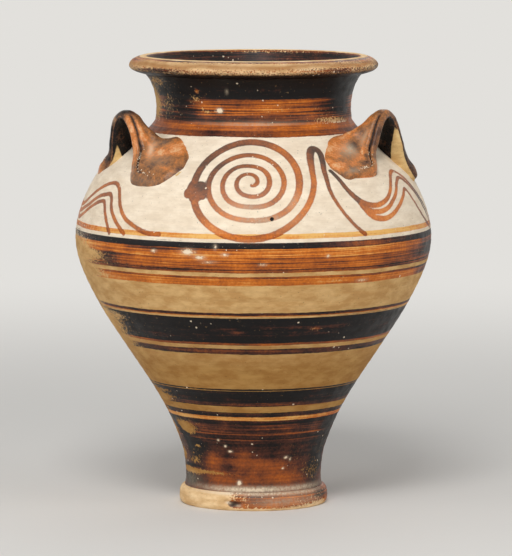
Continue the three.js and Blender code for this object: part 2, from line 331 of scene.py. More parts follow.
SPIRAL_PAINT, LINE_PAINT, START_PAINT, SMEAR_PAINT = 0.42, 0.37, 0.62, 0.52
SPIRAL_WOBBLE = 0.012  # how much the two unseen spirals differ from the front one
DAB_LENGTH = 0.6  # degrees that the brush moves in one dab
STROKE_MARGIN = 12.0  # how far round a stroke its distance is measured
OFF_STROKE = 20.0  # the distance written farther off
MEASURED_AT_ONCE = 2000  # vertices, which keeps the memory small

# A small round pit through the slip: azimuth, height, radius and depth
PIT = (6.0, 301.0, 2.4, 2.6)


def patch(azimuth, height, half_width, half_height, wear=0.0, paint=0.0, bloom=0.0):
    """A soft round patch of the skin: worn, painted thicker or thinner, or with a pale bloom.

    Bloom is a thin pale crust where the paint is sound, and fresher clay where it is worn off.
    Along the neck's root and the foot's ledge it also paints a highlight.
    """
    return azimuth, height, half_width, half_height, wear, paint, bloom


# A half width that takes a patch all round the jar
ALL_ROUND = 9000

# The patches of each piece's paint
SHOULDER_PATCHES = (
    patch(-20, 346, 22, 20, paint=0.28), patch(-6, 368, 34, 7, paint=0.18),
    patch(-4, 346, 24, 12, paint=0.14), patch(14, 362, 14, 8, paint=-0.04),
    patch(-2, 311, 20, 5, wear=0.12, bloom=0.5), patch(3, 300, 24, 5, wear=0.16, bloom=0.6),
    patch(13, 316, 9, 10, wear=0.1, bloom=0.35), patch(-12, 290, 34, 12, paint=-0.1),
    patch(18, 300, 20, 24, paint=-0.12), patch(23, 330, 8, 22, paint=-0.08),
    patch(28, 362, 10, 10, paint=0.28), patch(31, 352, 6, 12, paint=0.2),
    patch(27, 330, 6, 16, paint=0.12), patch(52, 304, 26, 10, paint=-0.14),
    patch(41, 311, 10, 6, paint=0.12), patch(64, 330, 14, 10, paint=0.1),
    patch(80, 306, 26, 26, paint=0.36), patch(-60, 318, 24, 14, paint=0.1),
    patch(-62, 300, 26, 14, paint=0.08), patch(-36, 285, 16, 4, paint=0.06),
    patch(118, 300, 30, 10, wear=0.3), patch(236, 345, 26, 14, wear=0.25, paint=0.1),
    patch(150, 320, 30, 22, paint=0.12), patch(205, 310, 30, 20, paint=-0.12),
    patch(-20, 378, 30, 3, paint=0.1), patch(-72, 284, 40, 4, paint=0.3, wear=0.3),
)
BELLY_PATCHES = (
    patch(-84, 258, 62, 15, wear=1.5), patch(-62, 258, 16, 4, wear=0.5, paint=0.5),
    patch(-54, 256, 22, 6, wear=0.1, paint=0.3), patch(-50, 262, 16, 2, paint=0.3),
    patch(-80, 239, 64, 6, wear=1.3), patch(-78, 276, 40, 4, wear=0.1),
    patch(-21, 268.5, 6, 2.8, wear=1.1, bloom=1.3), patch(-17, 263.5, 4.6, 2, wear=1, bloom=1.2),
    patch(-9, 266.5, 3, 1.5, wear=0.9, bloom=1.2), patch(-33, 268, 2.6, 1.4, wear=0.9, bloom=1.2),
    patch(-12, 274, 1.6, 2.6, wear=0.6, bloom=0.8), patch(3, 257, 3.4, 1.2, wear=0.7, bloom=0.8),
    patch(-14, 259, 6, 1.4, wear=0.5, bloom=0.6), patch(-34, 271, 46, 2.2, paint=0.46),
    patch(24, 264, 1.6, 1.4, wear=1, bloom=1), patch(38, 238, 6, 1.5, wear=0.7, bloom=0.7),
    patch(76, 258, 44, 10, wear=0.1, paint=0.4), patch(80, 267, 40, 8, paint=0.3),
    patch(52, 251, 40, 3, paint=0.16), patch(38, 274.5, 44, 4.5, paint=-0.36),
    patch(36, 258, 30, 4, paint=-0.1), patch(28, 266, 60, 2, paint=-0.12),
    patch(20, 253, 44, 3, paint=0.1), patch(78, 239, 34, 5, wear=0.1, paint=0.36),
    patch(-30, 251, 44, 2.4, paint=0.16), patch(28, 240, 14, 2, wear=0.4, paint=-0.1),
    patch(-84, 206, 40, 5, wear=0.8), patch(110, 262, 50, 12, wear=0.3, paint=0.2),
    patch(160, 250, 60, 20, wear=0.2, paint=-0.1), patch(215, 262, 60, 10, wear=0.35, paint=0.1),
)
LOWER_PATCHES = (
    patch(-82, 188, 46, 18, wear=1.4), patch(-82, 167, 44, 8, wear=1.2),
    patch(-62, 196, 16, 3, wear=0.4), patch(-6, 187, 9, 2, paint=-0.4),
    patch(-12, 190, 16, 1.4, paint=-0.26), patch(-40, 181, 30, 2, paint=-0.16),
    patch(24, 190, 9, 1.6, wear=0.4, paint=-0.4), patch(4, 178, 40, 2.4, paint=-0.16),
    patch(-82, 150, 14, 16, bloom=0.2), patch(20, 192, 60, 1.6, paint=-0.12),
    patch(40, 175, 40, 1.4, paint=0.12), patch(-28, 168, 60, 2, paint=-0.1),
    patch(250, 190, 30, 14, wear=0.5), patch(140, 190, 24, 8, wear=0.3),
)
STEM_PATCHES = (
    patch(-84, 114, 36, 9, wear=1.2), patch(-62, 113, 20, 1.6, wear=0.6),
    patch(-60, 119, 16, 1.4, wear=0.5), patch(-70, 109, 20, 2, wear=0.7),
    patch(-88, 98, 24, 6, wear=0.9), patch(-58, 81, 17, 6.5, wear=1.5),
    patch(-84, 76, 12, 12, wear=1.4), patch(-76, 88, 3.4, 4, wear=-1.8, paint=0.6),
    patch(-71, 83, 3.4, 4, wear=-2, paint=0.6), patch(-66, 77.5, 3.6, 4, wear=-2, paint=0.6),
    patch(-61, 72, 5, 4, wear=-2, paint=0.6), patch(-56, 66, 7, 5, wear=-1.2, paint=0.5),
    patch(-44, 62, 14, 5, paint=0.16), patch(-50, 63, 5, 1.6, wear=0.9),
    patch(-54, 57, 12, 8, wear=0.3, paint=0.4), patch(-80, 51, 8, 6, wear=1.2),
    patch(-58, 47, 14, 4, wear=0.55, paint=0.2), patch(-64, 41, 18, 1.6, wear=-0.3, paint=0.4),
    patch(-68, 35.8, 30, 2.8, wear=1.4), patch(-34, 36.4, 20, 1.6, wear=0.45, paint=-0.2),
    patch(-66, 27, 18, 6, bloom=0.2, paint=0.36), patch(-34, 50, 11, 7, paint=-0.14),
    patch(-20, 43, 12, 4, paint=0.16), patch(0, 46, 24, 12, paint=-0.14),
    patch(8, 62, 30, 5, paint=0.06), patch(-30, 28, 14, 6, paint=-0.14),
    patch(14, 55, 8, 3, paint=0.1), patch(-22, 56, 7, 3, paint=0.12),
    patch(-7, 57, 6, 5, paint=-0.12), patch(16, 42, 10, 5, paint=-0.08),
    patch(24, 34, 22, 8, paint=-0.1), patch(34, 56, 18, 12, wear=0.1, paint=0.08),
    patch(66, 54, 16, 28, wear=0.14, paint=0.34), patch(56, 36, 16, 9, wear=0.36, paint=0.14),
    patch(70, 84, 20, 14, paint=0.2), patch(-12, 27.5, 2, 2, wear=1.6, bloom=1.8),
    patch(-22, 65, 1.2, 1.1, wear=1.5, bloom=1.6), patch(-18.5, 59.5, 2, 1, wear=1.4, bloom=1.6),
    patch(27, 53, 1.8, 1.2, wear=1.2, bloom=1.4), patch(25, 42, 1.1, 1, wear=1.3, bloom=1.4),
    patch(31, 51, 1, 1.6, wear=1, bloom=1), patch(-27, 71, 1.2, 1, wear=1.2, bloom=1.2),
    # The pale band at heights 21 to 22, along the foot's ledge, is crust with a painted highlight over
    # it
    patch(-6, 21, 44, 2.8, bloom=1.1), patch(48, 21, 30, 2.8, bloom=0.5),
    patch(190, 60, 50, 20, wear=0.3, paint=0.2), patch(240, 45, 40, 16, wear=0.5, paint=0.1),
    patch(130, 85, 40, 12, wear=0.4), patch(170, 22, 70, 3, bloom=0.5),
)
FOOT_PATCHES = (
    patch(-64, 8, 52, 40, wear=1.9), patch(-30, 4, 18, 6, wear=1.3), patch(-34, 14, 14, 5, wear=0.5),
    # The dark paint kept at azimuth -16, height 6.4, over the large chip is painted shade in it
    patch(-16, 6.4, 7, 3, wear=-1.6, paint=0.5), patch(-20, 8, 3, 1.4, bloom=1.2),
    # The pale band at heights 17 to 17.4, along the ledge, is crust with a painted highlight over it
    patch(-12, 5, 3, 1.2, bloom=0.8), patch(-4, 17.4, 46, 1.8, bloom=1.1),
    patch(46, 17, 26, 2.2, bloom=0.5), patch(14, 9, 26, 5, bloom=0.34),
    patch(62, 3, 26, 3.4, wear=0.7), patch(24, 2.4, 40, 1.6, wear=0.5),
    patch(64, 12, 12, 6, wear=0.2, paint=0.26), patch(44, 9, 26, 5, wear=0.2, bloom=0.34),
    patch(150, 8, 50, 8, wear=0.5), patch(230, 8, 40, 8, wear=0.8, paint=0.2),
)
NECK_PATCHES = (
    patch(-66, 427, 20, 6, wear=0.55), patch(-80, 404, 15, 18, wear=1.1),
    patch(-60, 404, 16, 12, wear=0.34, paint=0.4), patch(-46, 408, 16, 14, wear=0.08, paint=0.44),
    patch(-40, 397, 16, 6, paint=0.26), patch(-35, 411, 6, 3.4, wear=0.55),
    patch(-33.5, 419, 2.4, 2.6, wear=0.5, paint=-0.6), patch(-20, 400.5, 2.8, 2, wear=2, bloom=2.2),
    patch(-27, 399, 7, 1.2, wear=0.8), patch(-31, 402, 4, 1.2, wear=0.7),
    patch(-15, 419.5, 1.4, 2.4, bloom=0.5), patch(12, 402, 10, 5, wear=0.34, paint=-0.1),
    patch(46, 390, 20, 4, wear=0.4), patch(60, 387, 20, 5, wear=0.66),
    patch(62, 408, 24, 13, paint=0.5), patch(40, 398, 14, 5, wear=0.16, paint=0.1),
    # The pale patch at azimuth 2, height 387, along the neck's root is a painted highlight
    patch(-20, 379, 40, 4, paint=0.06), patch(2, 387, 46, 3, paint=-0.04, bloom=0.36),
    patch(-4, 393, 20, 1.6, paint=0.2), patch(150, 400, 40, 12, wear=0.3),
    patch(220, 410, 30, 12, wear=0.4),
)

# Patches on the lip, by length along its skin in place of height
LIP_PATCHES = (
    patch(0, 25, ALL_ROUND, 8, wear=0.9), patch(0, 16, ALL_ROUND, 2.4, wear=0.3),
    patch(-80, 27, 26, 3.4, wear=-0.7, paint=0.16), patch(-46, 32, 20, 1.4, wear=-0.6, paint=0.2),
    patch(-48, 18, 30, 2.4, wear=-0.4, paint=0.2), patch(64, 27, 60, 5, wear=-0.34),
    patch(20, 32, 60, 1.6, wear=-0.4, paint=0.1), patch(40, 19, 30, 3, wear=-0.3, paint=0.1),
    patch(84, 22, 22, 8, wear=-0.2, paint=0.2), patch(160, 26, 60, 5, wear=-0.3),
    patch(240, 24, 40, 5, wear=-0.24, paint=0.1), patch(168, 42, 60, 2.4, wear=0.4, paint=-0.14),
)

# The crease that runs down each leg: how far towards the outward edge it lies at two places along
# the leg, how deep and how wide it and its dark line of painted shade are, where it comes in and
# goes out, and the rolls beside it, each as (height, distance from the crease, width)
CREASE_ALONG = (0.1, 0.36)
CREASE_ACROSS = (0.4, 0.66)
CREASE_DEPTH = 1.5
CREASE_WIDTH = 1.2
CREASE_LINE = 1.1
CREASE_SPAN = (0.06, 0.16, 0.6, 0.75)
CREASE_ROLLS = ((0.9, 3.6, 2.4), (0.5, -4, 2.2))

# Flakes that have come off along it: where along the leg, how far beside the crease and how wide
FLAKED_SPAN = (0.34, 0.5, 0.74, 0.83)
FLAKED_BESIDE = -0.6
FLAKED_WIDTH = 3.4

# The thumb's hollow in each leg, as (depth, place along, half length, place across, half width)
THUMB_HOLLOW = (1.3, 0.4, 0.12, -0.15, 0.35)

# A handle's soft unevenness, as (height, size), and how far it is set back
HANDLE_LUMPS = ((0.5, 14), (0.2, 5))
HANDLE_SETBACK = 0.3
ROOT_DEPTH = 2.0  # how deep a handle's root goes under the skin of the wall

# How the paint fires on a handle's outer side, and where highlights are painted on it, as (place
# along, place across, half length, half width, added paint, bloom): along is 0 at the crown, -1 and 1
# at the tips of the two legs, and across is -1 at the edge next to the neck and 1 at the outward edge
HANDLE_TONES = {
    "handle_left": (
        # The lightening at (0.28, 0.26) on the roll and at (0.66, -0.18) on the lobe is painted
        # highlight
        (0, 0.3, 0.12, 1.6, 0.4, 0), (0.28, 0.26, 0.14, 0.26, -0.5, 0),
        (0.17, 0.85, 0.1, 0.2, -0.4, 0), (0.42, 0.96, 0.24, 0.14, -0.3, 0),
        (0.3, -0.8, 0.12, 0.3, 0.2, 0), (0.66, -0.18, 0.05, 0.16, -0.5, 0),
        (0.74, -0.48, 0.08, 0.2, -0.4, 0), (0.8, -0.85, 0.12, 0.16, -0.36, 0),
        (0.56, 0.1, 0.09, 0.16, -0.2, 0.5), (0.5, -0.1, 0.06, 0.3, -0.1, 0.3),
        (0.85, 0.24, 0.05, 0.14, -0.34, 0), (0.8, 0.5, 0.1, 0.3, 0.06, 0),
        (0.72, 0.95, 0.16, 0.22, 0.2, 0.1), (0.6, -0.6, 0.08, 0.2, 0.24, 0.1),
        (0.74, 0.1, 0.08, 0.3, 0.14, 0.1), (0.98, 0, 0.05, 1.6, 0.36, 0),
        (-0.36, 0.5, 0.3, 1.8, 0.6, 0), (-0.14, 0.9, 0.05, 0.2, -0.3, 0.3),
        (-0.66, 0.9, 0.1, 0.4, -0.4, 0),
    ),
    "handle_right": (
        (-0.76, -0.6, 0.13, 0.3, -0.36, 0), (-0.88, -0.1, 0.07, 0.5, -0.34, 0),
        (-0.3, -0.9, 0.24, 0.2, -0.2, 0), (-0.08, -0.5, 0.08, 0.6, -0.1, 0),
        (-0.5, -0.8, 0.14, 0.2, -0.3, 0), (-0.56, 0.2, 0.08, 0.11, -0.46, 0),
        (-0.7, 0.16, 0.06, 0.14, -0.24, 0), (-0.36, 0.1, 0.1, 0.16, -0.1, 0.4),
        (-0.65, -0.26, 0.09, 0.22, 0.14, 0.6), (-0.54, -0.3, 0.07, 0.2, 0.26, 0),
        (-0.62, 0.44, 0.08, 0.12, 0.24, 0), (-0.83, 0.6, 0.06, 0.2, 0.1, 0.35),
        (-0.86, -0.4, 0.03, 0.3, 0.3, 0), (-0.7, 1, 0.1, 0.14, -0.3, 0),
        (-0.3, 0.86, 0.12, 0.2, 0.4, 0), (-0.98, 0, 0.04, 1.4, 0.24, 0),
        (0.2, 0, 0.2, 1.6, 0.4, 0), (0.5, 0.9, 0.2, 0.4, 0.4, 0),
    ),
    "handle_back": (
        (0.3, -0.3, 0.2, 0.5, -0.3, 0), (-0.4, 0.2, 0.2, 0.4, -0.24, 0), (0.7, 0.3, 0.1, 0.5, -0.2, 0.2),
        (-0.66, 0, 0.14, 0.6, 0.14, 0.1), (0, 0, 0.1, 0.9, 0.2, 0), (0.5, 0.6, 0.2, 0.1, 0.3, 0),
        (-0.5, 0.6, 0.2, 0.1, 0.3, 0), (-0.85, 0.2, 0.08, 0.5, -0.3, 0),
    ),
}

# Painted shade: darker paint on a handle's inner side, inside the arch, and along its crease
INNER_SIDE_SHADE, CREASE_SHADE = 0.55, 0.5

# Bare clay on a handle's inner side, as (leg, from and to across the strap, how far from the crown
# it begins, how far round the strap's edge it reaches)
BARE_INSIDES = {
    "handle_left": ((-1, 0.3, 1.1, 0.3, -0.1), (1, -0.6, 0.6, 0.3, -0.15)),
    "handle_right": ((1, 0.34, 1.4, 0.12, 0.1), (-1, -0.6, 0.5, 0.3, -0.15)),
    "handle_back": ((1, -0.5, 0.9, 0.3, -0.15), (-1, -0.5, 0.9, 0.3, -0.15)),
}

# Chips in the foot's edge, as (azimuth, height, half width, half height, depth)
FOOT_CHIPS = (
    (-21, 8, 4, 3, 1.8), (-15, 6.2, 6, 3.4, 2.6), (-10, 7.6, 3.4, 2, 1.4), (32, 2.5, 6, 2.2, 0.9),
    (48, 3, 4, 2.4, 1.1), (58, 10, 5, 3, 0.8), (70, 6, 3, 3, 0.9), (20, 2, 3, 1.5, 0.7),
    (95, 4, 6, 3, 1.3), (140, 8, 5, 3, 1), (176, 3, 8, 2.4, 1.4), (214, 9, 4, 3, 0.9),
    (250, 3, 6, 2.6, 1.2), (292, 5, 3, 2.4, 0.8),
)

# Nicks in the roll of the lip, in the same order
LIP_NICKS = (
    (-43.5, 438, 2.4, 4, 1.4), (-40, 436, 3, 2.4, 1), (-86, 440, 3, 3, 0.8), (62, 437, 4, 2, 0.8),
    (84, 440, 4, 4, 1), (150, 442, 4, 3, 1.1), (231, 439, 5, 3, 1), (-12, 436.5, 6, 1.6, 0.5),
)


def linear(code):
    """The linear red, green and blue of an sRGB hex colour."""
    parts = [int(code[i:i + 2], 16) / 255 for i in (0, 2, 4)]
    return tuple(c / 12.92 if c <= 0.04045 else ((c + 0.055) / 1.055) ** 2.4 for c in parts)


def through(points, count, held=True):
    """A smooth curve through given points, as count points evenly along their numbering."""
    p = np.asarray(points, float)
    before = p[0] if held else 2 * p[0] - p[1]
    after = p[-1] if held else 2 * p[-1] - p[-2]
    padded = np.vstack([before, p, after])
    place = np.linspace(0, len(p) - 1, count)
    i = np.minimum(place.astype(int), len(p) - 2)
    w = (place - i)[:, None]
    a, b, c, d = padded[i], padded[i + 1], padded[i + 2], padded[i + 3]
    cubic = 3 * b - a - 3 * c + d
    return 0.5 * (2 * b + (c - a) * w + (2 * a - 5 * b + 4 * c - d) * w**2 + cubic * w**3)


def wall_table():
    """Heights and radii of the wall's outside on a fine even grid, its crease slightly rounded."""
    body = through(BODY_OUTLINE, 40 * len(BODY_OUTLINE))
    neck = through(NECK_OUTLINE, 40 * len(NECK_OUTLINE))
    line = np.vstack([body, neck[1:]])
    heights = np.arange(BODY_OUTLINE[0][1], NECK_OUTLINE[-1][1] + 0.01, 0.5)
    radii = np.interp(heights, line[:, 1], line[:, 0])
    kernel = np.array([1, 2, 3, 2, 1]) / 9
    rounded = np.convolve(np.pad(radii, 2, mode="reflect", reflect_type="odd"), kernel, "valid")
    return heights, rounded


WALL_HEIGHTS, WALL_RADII = wall_table()
WALL_SLOPES = np.gradient(WALL_RADII, WALL_HEIGHTS)


def outer_radius(height):
    """Radius of the wall's outside at a height."""
    return np.interp(height, WALL_HEIGHTS, WALL_RADII)


def inner_radius(height):
    """Radius of the wall's inside: as far out as leaves the wall its thickness."""
    turns = np.linspace(-np.pi / 2, np.pi / 2, 33)
    reach = outer_radius(np.asarray(height, float)[..., None] + WALL * np.sin(turns))
    return (reach - WALL * np.cos(turns)).min(axis=-1)


def smoothstep(value, low, high):
    """0 below low, 1 above high and a smooth rise between."""
    share = np.clip((value - low) / (high - low), 0, 1)
    return share * share * (3 - 2 * share)


def span_share(value, span):
    """How much of a change is in force: it comes in, holds and goes out smoothly."""
    begins, whole, fades, ends = span
    return smoothstep(value, begins, whole) * (1 - smoothstep(value, fades, ends))


def bell(value, middle, half):
    """1 at the middle, falling softly to about a third at half a width from it."""
    return np.exp(-(((value - middle) / half) ** 2))


def unevenness(azimuth, height):
    """How far the hand-thrown surface lies inside its true outline, in millimetres."""
    ridges = sum(
        depth * np.sin(2 * np.pi * height / spacing + climb * azimuth)
        for depth, spacing, climb in THROWING_RIDGES
    )
    sway = sum(
        reach * np.sin(lobes * azimuth + height / climb) for reach, lobes, climb in OUT_OF_ROUND
    )
    return ridges + sway - WALL_SETBACK


def deselect():
    """Clears the selection, so that the next operator acts on its own piece alone."""
    if bpy.context.object and bpy.context.object.mode != "OBJECT":
        bpy.ops.object.mode_set(mode="OBJECT")
    bpy.ops.object.select_all(action="DESELECT")


def select_only(piece):
    """Selects one piece and makes it the active one."""
    deselect()
    piece.select_set(True)
    bpy.context.view_layer.objects.active = piece


def coordinates(mesh):
    """A mesh's vertices as an array, in millimetres."""
    flat = np.empty(3 * len(mesh.vertices))
    mesh.vertices.foreach_get("co", flat)
    return flat.reshape(-1, 3) / MM


def place(mesh, points):
    """Moves a mesh's vertices to points in millimetres."""
    mesh.vertices.foreach_set("co", (points * MM).ravel())
    mesh.update()


def round_the_axis(points):
    """Azimuth in degrees and distance from the jar's axis of each point."""
    return np.degrees(np.arctan2(points[:, 0], -points[:, 1])), np.hypot(*points[:, :2].T)


def across_from(azimuth, turned, radius):
    """How far round the skin, in millimetres, points lie from an azimuth."""
    return np.radians((turned - azimuth + 180) % 360 - 180) * radius


def read_values(mesh, name):
    """A per-vertex number of a mesh, by name."""
    values = np.empty(len(mesh.vertices))
    mesh.attributes[name].data.foreach_get("value", values)
    return values


def write_values(mesh, name, values):
    """Sets a per-vertex number of a mesh, by name."""
    layer = mesh.attributes.get(name) or mesh.attributes.new(name, "FLOAT", "POINT")
    layer.data.foreach_set("value", np.asarray(values, np.float32))


def faces_outwards(piece):
    """Merges the doubles of a closed piece and turns all its faces outwards."""
    select_only(piece)
    bpy.ops.object.mode_set(mode="EDIT")
    bpy.ops.mesh.select_all(action="SELECT")
    bpy.ops.mesh.remove_doubles(threshold=DOUBLES * MM)
    bpy.ops.mesh.normals_make_consistent(inside=False)
    bpy.ops.object.mode_set(mode="OBJECT")


def drawn_profile(name, points):
    """A piece that is still one chain of vertices in the XZ plane, extruded point by point."""
    deselect()
    bpy.ops.mesh.primitive_plane_add(size=MM)
    piece = bpy.context.object
    piece.name = name
    bpy.ops.object.mode_set(mode="EDIT")
    bpy.ops.mesh.select_all(action="SELECT")
    bpy.ops.mesh.merge(type="CENTER")
    at = np.zeros(2)
    for i, point in enumerate(points):
        outward, up = (point - at) * MM
        move = (outward, 0, up)
        if i == 0:
            bpy.ops.transform.translate(value=move)
        else:
            bpy.ops.mesh.extrude_region_move(TRANSFORM_OT_translate={"value": move})
        at = point
    bpy.ops.object.mode_set(mode="OBJECT")
    return piece


def turn_on_wheel(piece, around, closed):
    """Turns a profile round the jar's axis into one skin without openings.

    A closed profile is a ring's: its two ends are joined first. Others start and end at the axis.
    """
    if closed:
        for vertex in piece.data.vertices:
            vertex.select = vertex.index in (0, len(piece.data.vertices) - 1)
        bpy.ops.object.mode_set(mode="EDIT")
        bpy.ops.mesh.select_mode(type="VERT")
        bpy.ops.mesh.edge_face_add()
        bpy.ops.object.mode_set(mode="OBJECT")
    bpy.ops.object.modifier_add(type="SCREW")
    turn = piece.modifiers[-1]
    turn.axis = "Z"
    turn.angle = 2 * math.pi
    turn.steps = turn.render_steps = around
    turn.use_merge_vertices = True
    turn.merge_threshold = DOUBLES * MM
    bpy.ops.object.modifier_apply(modifier=turn.name)
    faces_outwards(piece)


def turned_piece(name, outside, inside, readings, around, closed=True):
    """Turns an outside and an inside line of (radius, height) into one piece.

    Each vertex keeps its reading, the place along the painted skin, and whether it is inside.
    """
    piece = drawn_profile(name, np.vstack([outside, inside]))
    skin = np.concatenate([np.zeros(len(outside)), np.ones(len(inside))])
    write_values(piece.data, "inner", skin)
    ends = np.full(len(inside), readings[-1])
    write_values(piece.data, "reading", np.concatenate([readings, ends]))
    turn_on_wheel(piece, around, closed)
    points = coordinates(piece.data)
    azimuth, radius = round_the_axis(points)
    turn = np.radians(azimuth)
    outer = read_values(piece.data, "inner") < 0.5
    change = np.where(outer, unevenness(turn, points[:, 2]), 0)
    change *= smoothstep(radius, STILL_RADIUS, UNEVEN_RADIUS)
    points[:, 0] += change * np.sin(turn)
    points[:, 1] -= change * np.cos(turn)
    place(piece.data, points)
    return piece


def write_patches(mesh, patches, up_the_skin=False):
    """Writes where paint is worn or lies thicker, and where a pale crust and painted highlights lie, by
    height or up the skin.
    """
    points = coordinates(mesh)
    turned, radius = round_the_axis(points)
    up = read_values(mesh, "reading") if up_the_skin else points[:, 2]
    fields = np.zeros((3, len(points)))
    for azimuth, height, half_width, half_height, *amounts in patches:
        across = across_from(azimuth, turned, radius)
        fields += np.outer(amounts, bell(across, 0, half_width) * bell(up, height, half_height))
    fields *= 1 - read_values(mesh, "inner")
    for name, values in zip(("wear", "added_paint", "bloom"), fields):
        write_values(mesh, name, values)


def knock_chips(mesh, chips, rim):
    """Knocks chips out of a round edge, from the rim's first radius on and whole past its second."""
    points = coordinates(mesh)
    turned, radius = round_the_axis(points)
    cut = np.zeros(len(points))
    for azimuth, height, half_width, half_height, depth in chips:
        across = across_from(azimuth, turned, radius) / half_width
        up = (points[:, 2] - height) / half_height
        cut += depth * (1 - smoothstep(np.hypot(across, up), 0.5, 1.3))
    share = 1 - cut * smoothstep(radius, *rim) / np.maximum(radius, 1)
    points[:, :2] *= share[:, None]
    place(mesh, points)


def smooth(piece, degrees=35):
    """Shades a piece smooth, with its sharp edges kept."""
    select_only(piece)
    bpy.ops.object.shade_smooth_by_angle(angle=math.radians(degrees))


def give_materials(piece, outside, inside):
    """Paints a turned piece: its inside faces take the second material."""
    mesh = piece.data
    mesh.materials.append(outside)
    mesh.materials.append(inside)
    inner = read_values(mesh, "inner") > 0.5
    for face in mesh.polygons:
        face.material_index = int(all(inner[v] for v in face.vertices))


def finish_piece(piece, node):
    """The piece stands for its CAD node and moves with the jar."""
    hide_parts(node)
    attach(piece, "root")


def on_wall(azimuth, height):
    """Points on the wall's outside, from azimuths in degrees and heights."""
    turn = np.radians(azimuth)
    radius = outer_radius(height)
    return np.stack([radius * np.sin(turn), -radius * np.cos(turn), height], axis=-1)


def stroke_points(points, paint):
    """A brush stroke as points on the wall about 1 mm apart, with half widths and its paint."""
    fine = through(points, 20 * len(points))
    on_surface = on_wall(fine[:, 0], fine[:, 1])
    lengths = np.linalg.norm(np.diff(on_surface, axis=0), axis=1)
    run = np.concatenate([[0], np.cumsum(lengths)])
    even = np.linspace(0, run[-1], max(int(run[-1]), 2))
    columns = [np.interp(even, run, column) for column in (*on_surface.T, fine[:, 2] / 2)]
    return np.stack(columns, axis=-1), paint


def spiral_line(turn, wobble):
    """The spiral of one panel, as (azimuth, height, width), turned and drawn a little otherwise."""
    steps = np.arange(len(SPIRAL_RADII))
    drawn = np.array(SPIRAL_RADII) * (1 + wobble * np.sin(steps * 2.4))
    fine = through(np.stack([steps, drawn], axis=-1), 4 * len(steps) - 3, held=False)
    angles = np.radians(SPIRAL_START + 360 / 8 * fine[:, 0])
    height = SPIRAL_CENTRE[1] + fine[:, 1] * np.sin(angles) / SLOPE_LENGTH
    across = fine[:, 1] * np.cos(angles)
    azimuth = SPIRAL_CENTRE[0] + turn + np.degrees(across / outer_radius(height))
    share = np.linspace(0, 1, len(fine))
    width = np.interp(share, np.linspace(0, 1, len(SPIRAL_WIDTHS)), SPIRAL_WIDTHS)
    hook = np.array(HOOK) + (turn, 0, 0)
    return np.vstack([np.stack([azimuth, height, width], axis=-1), hook])


def all_strokes():
    """Every brush stroke on the shoulder: three spirals, and the strokes under three handles."""
    left, right, back = (at["azimuth"] for at in HANDLES.values())
    middle = (left + right) / 2
    for turn, wobble in (
        (0, 0),
        ((right + back) / 2 - middle, SPIRAL_WOBBLE),
        ((back + left + 360) / 2 - middle, -SPIRAL_WOBBLE),
    ):
        yield stroke_points(spiral_line(turn, wobble), SPIRAL_PAINT)
    for turn, start, lines in (
        (0, LEFT_START, LEFT_LINES),
        (0, RIGHT_START, RIGHT_LINES),
        (back - right, RIGHT_START, RIGHT_LINES),
    ):
        yield stroke_points(np.array(start) + (turn, 0, 0), START_PAINT)
        for line in lines:
            yield stroke_points(np.array(line) + (turn, 0, 0), LINE_PAINT)
    for dab in SMEAR:
        ends = np.array([dab, dab]) + [(-DAB_LENGTH / 2, 0, 0), (DAB_LENGTH / 2, 0, 0)]
        yield stroke_points(ends, SMEAR_PAINT)


def write_strokes(mesh):
    """Writes how far each vertex is from the nearest stroke's edge, and how thick its paint is."""
    points = coordinates(mesh)
    nearest = np.full(len(points), OFF_STROKE)
    paint = np.full(len(points), SPIRAL_PAINT)
    for stroke, thickness in all_strokes():
        centres, halves = stroke[:, :3], stroke[:, 3]
        low = centres.min(axis=0) - STROKE_MARGIN
        high = centres.max(axis=0) + STROKE_MARGIN
        close = np.flatnonzero(np.all((points > low) & (points < high), axis=1))
        for part in np.array_split(close, max(1, len(close) // MEASURED_AT_ONCE)):
            gaps = np.linalg.norm(points[part, None, :] - centres[None], axis=2) - halves
            gap = gaps.min(axis=1)
            nearer = part[gap < nearest[part]]
            paint[nearer] = thickness
            nearest[part] = np.minimum(nearest[part], gap)
    write_values(mesh, "stroke", nearest)
    write_values(mesh, "stroke_paint", paint)


def sink_pit(mesh):
    """Presses the small pit into the shoulder and marks it."""
    azimuth, height, radius, depth = PIT
    points = coordinates(mesh)
    gap = np.linalg.norm(points - on_wall(azimuth, height), axis=1)
    pressed = depth * (1 - smoothstep(gap, 0.3 * radius, 1.3 * radius))
    reach = np.maximum(np.hypot(*points[:, :2].T), 1)
    points[:, :2] *= (1 - pressed / reach)[:, None]
    place(mesh, points)
    write_values(mesh, "pit", radius - gap)


def add(tree, kind, inputs=(), out=0, **settings):
    """Adds a node, sets it, gives its inputs values or links in order or by key: one output."""
    made = tree.nodes.new("ShaderNode" + kind)
    for key, value in settings.items():
        setattr(made, key, value)
    for key, value in inputs.items() if isinstance(inputs, dict) else enumerate(inputs):
        if isinstance(value, bpy.types.NodeSocket):
            tree.links.new(value, made.inputs[key])
        else:
            made.inputs[key].default_value = value
    return made.outputs[out] if made.outputs else made


def set_stops(ramp_output, stops, interpolation="LINEAR"):
    """Gives a colour ramp its stops, each (position, colour), and passes its colour on."""
    ramp = ramp_output.node.color_ramp
    ramp.interpolation = interpolation
    ramp.elements.remove(ramp.elements[-1])
    ramp.elements[0].position = stops[0][0]
    ramp.elements[0].color = (*stops[0][1], 1)
    for position, colour in stops[1:]:
        ramp.elements.new(position).color = (*colour, 1)
    return ramp_output


def new_surface(name):
    """A new material, and the piece's coordinates in millimetres: plain, and drawn out around."""
    material = bpy.data.materials.new(name)
    material.use_nodes = True
    tree = material.node_tree
    tree.nodes.clear()
    here = add(tree, "TexCoord", out="Object")
    mm = add(tree, "VectorMath", [here, (1 / MM,) * 3], operation="MULTIPLY")
    around = (1 / STRETCH, 1 / STRETCH, 1)
    drawn = add(tree, "VectorMath", [mm, around], operation="MULTIPLY")
    return material, tree, mm, drawn


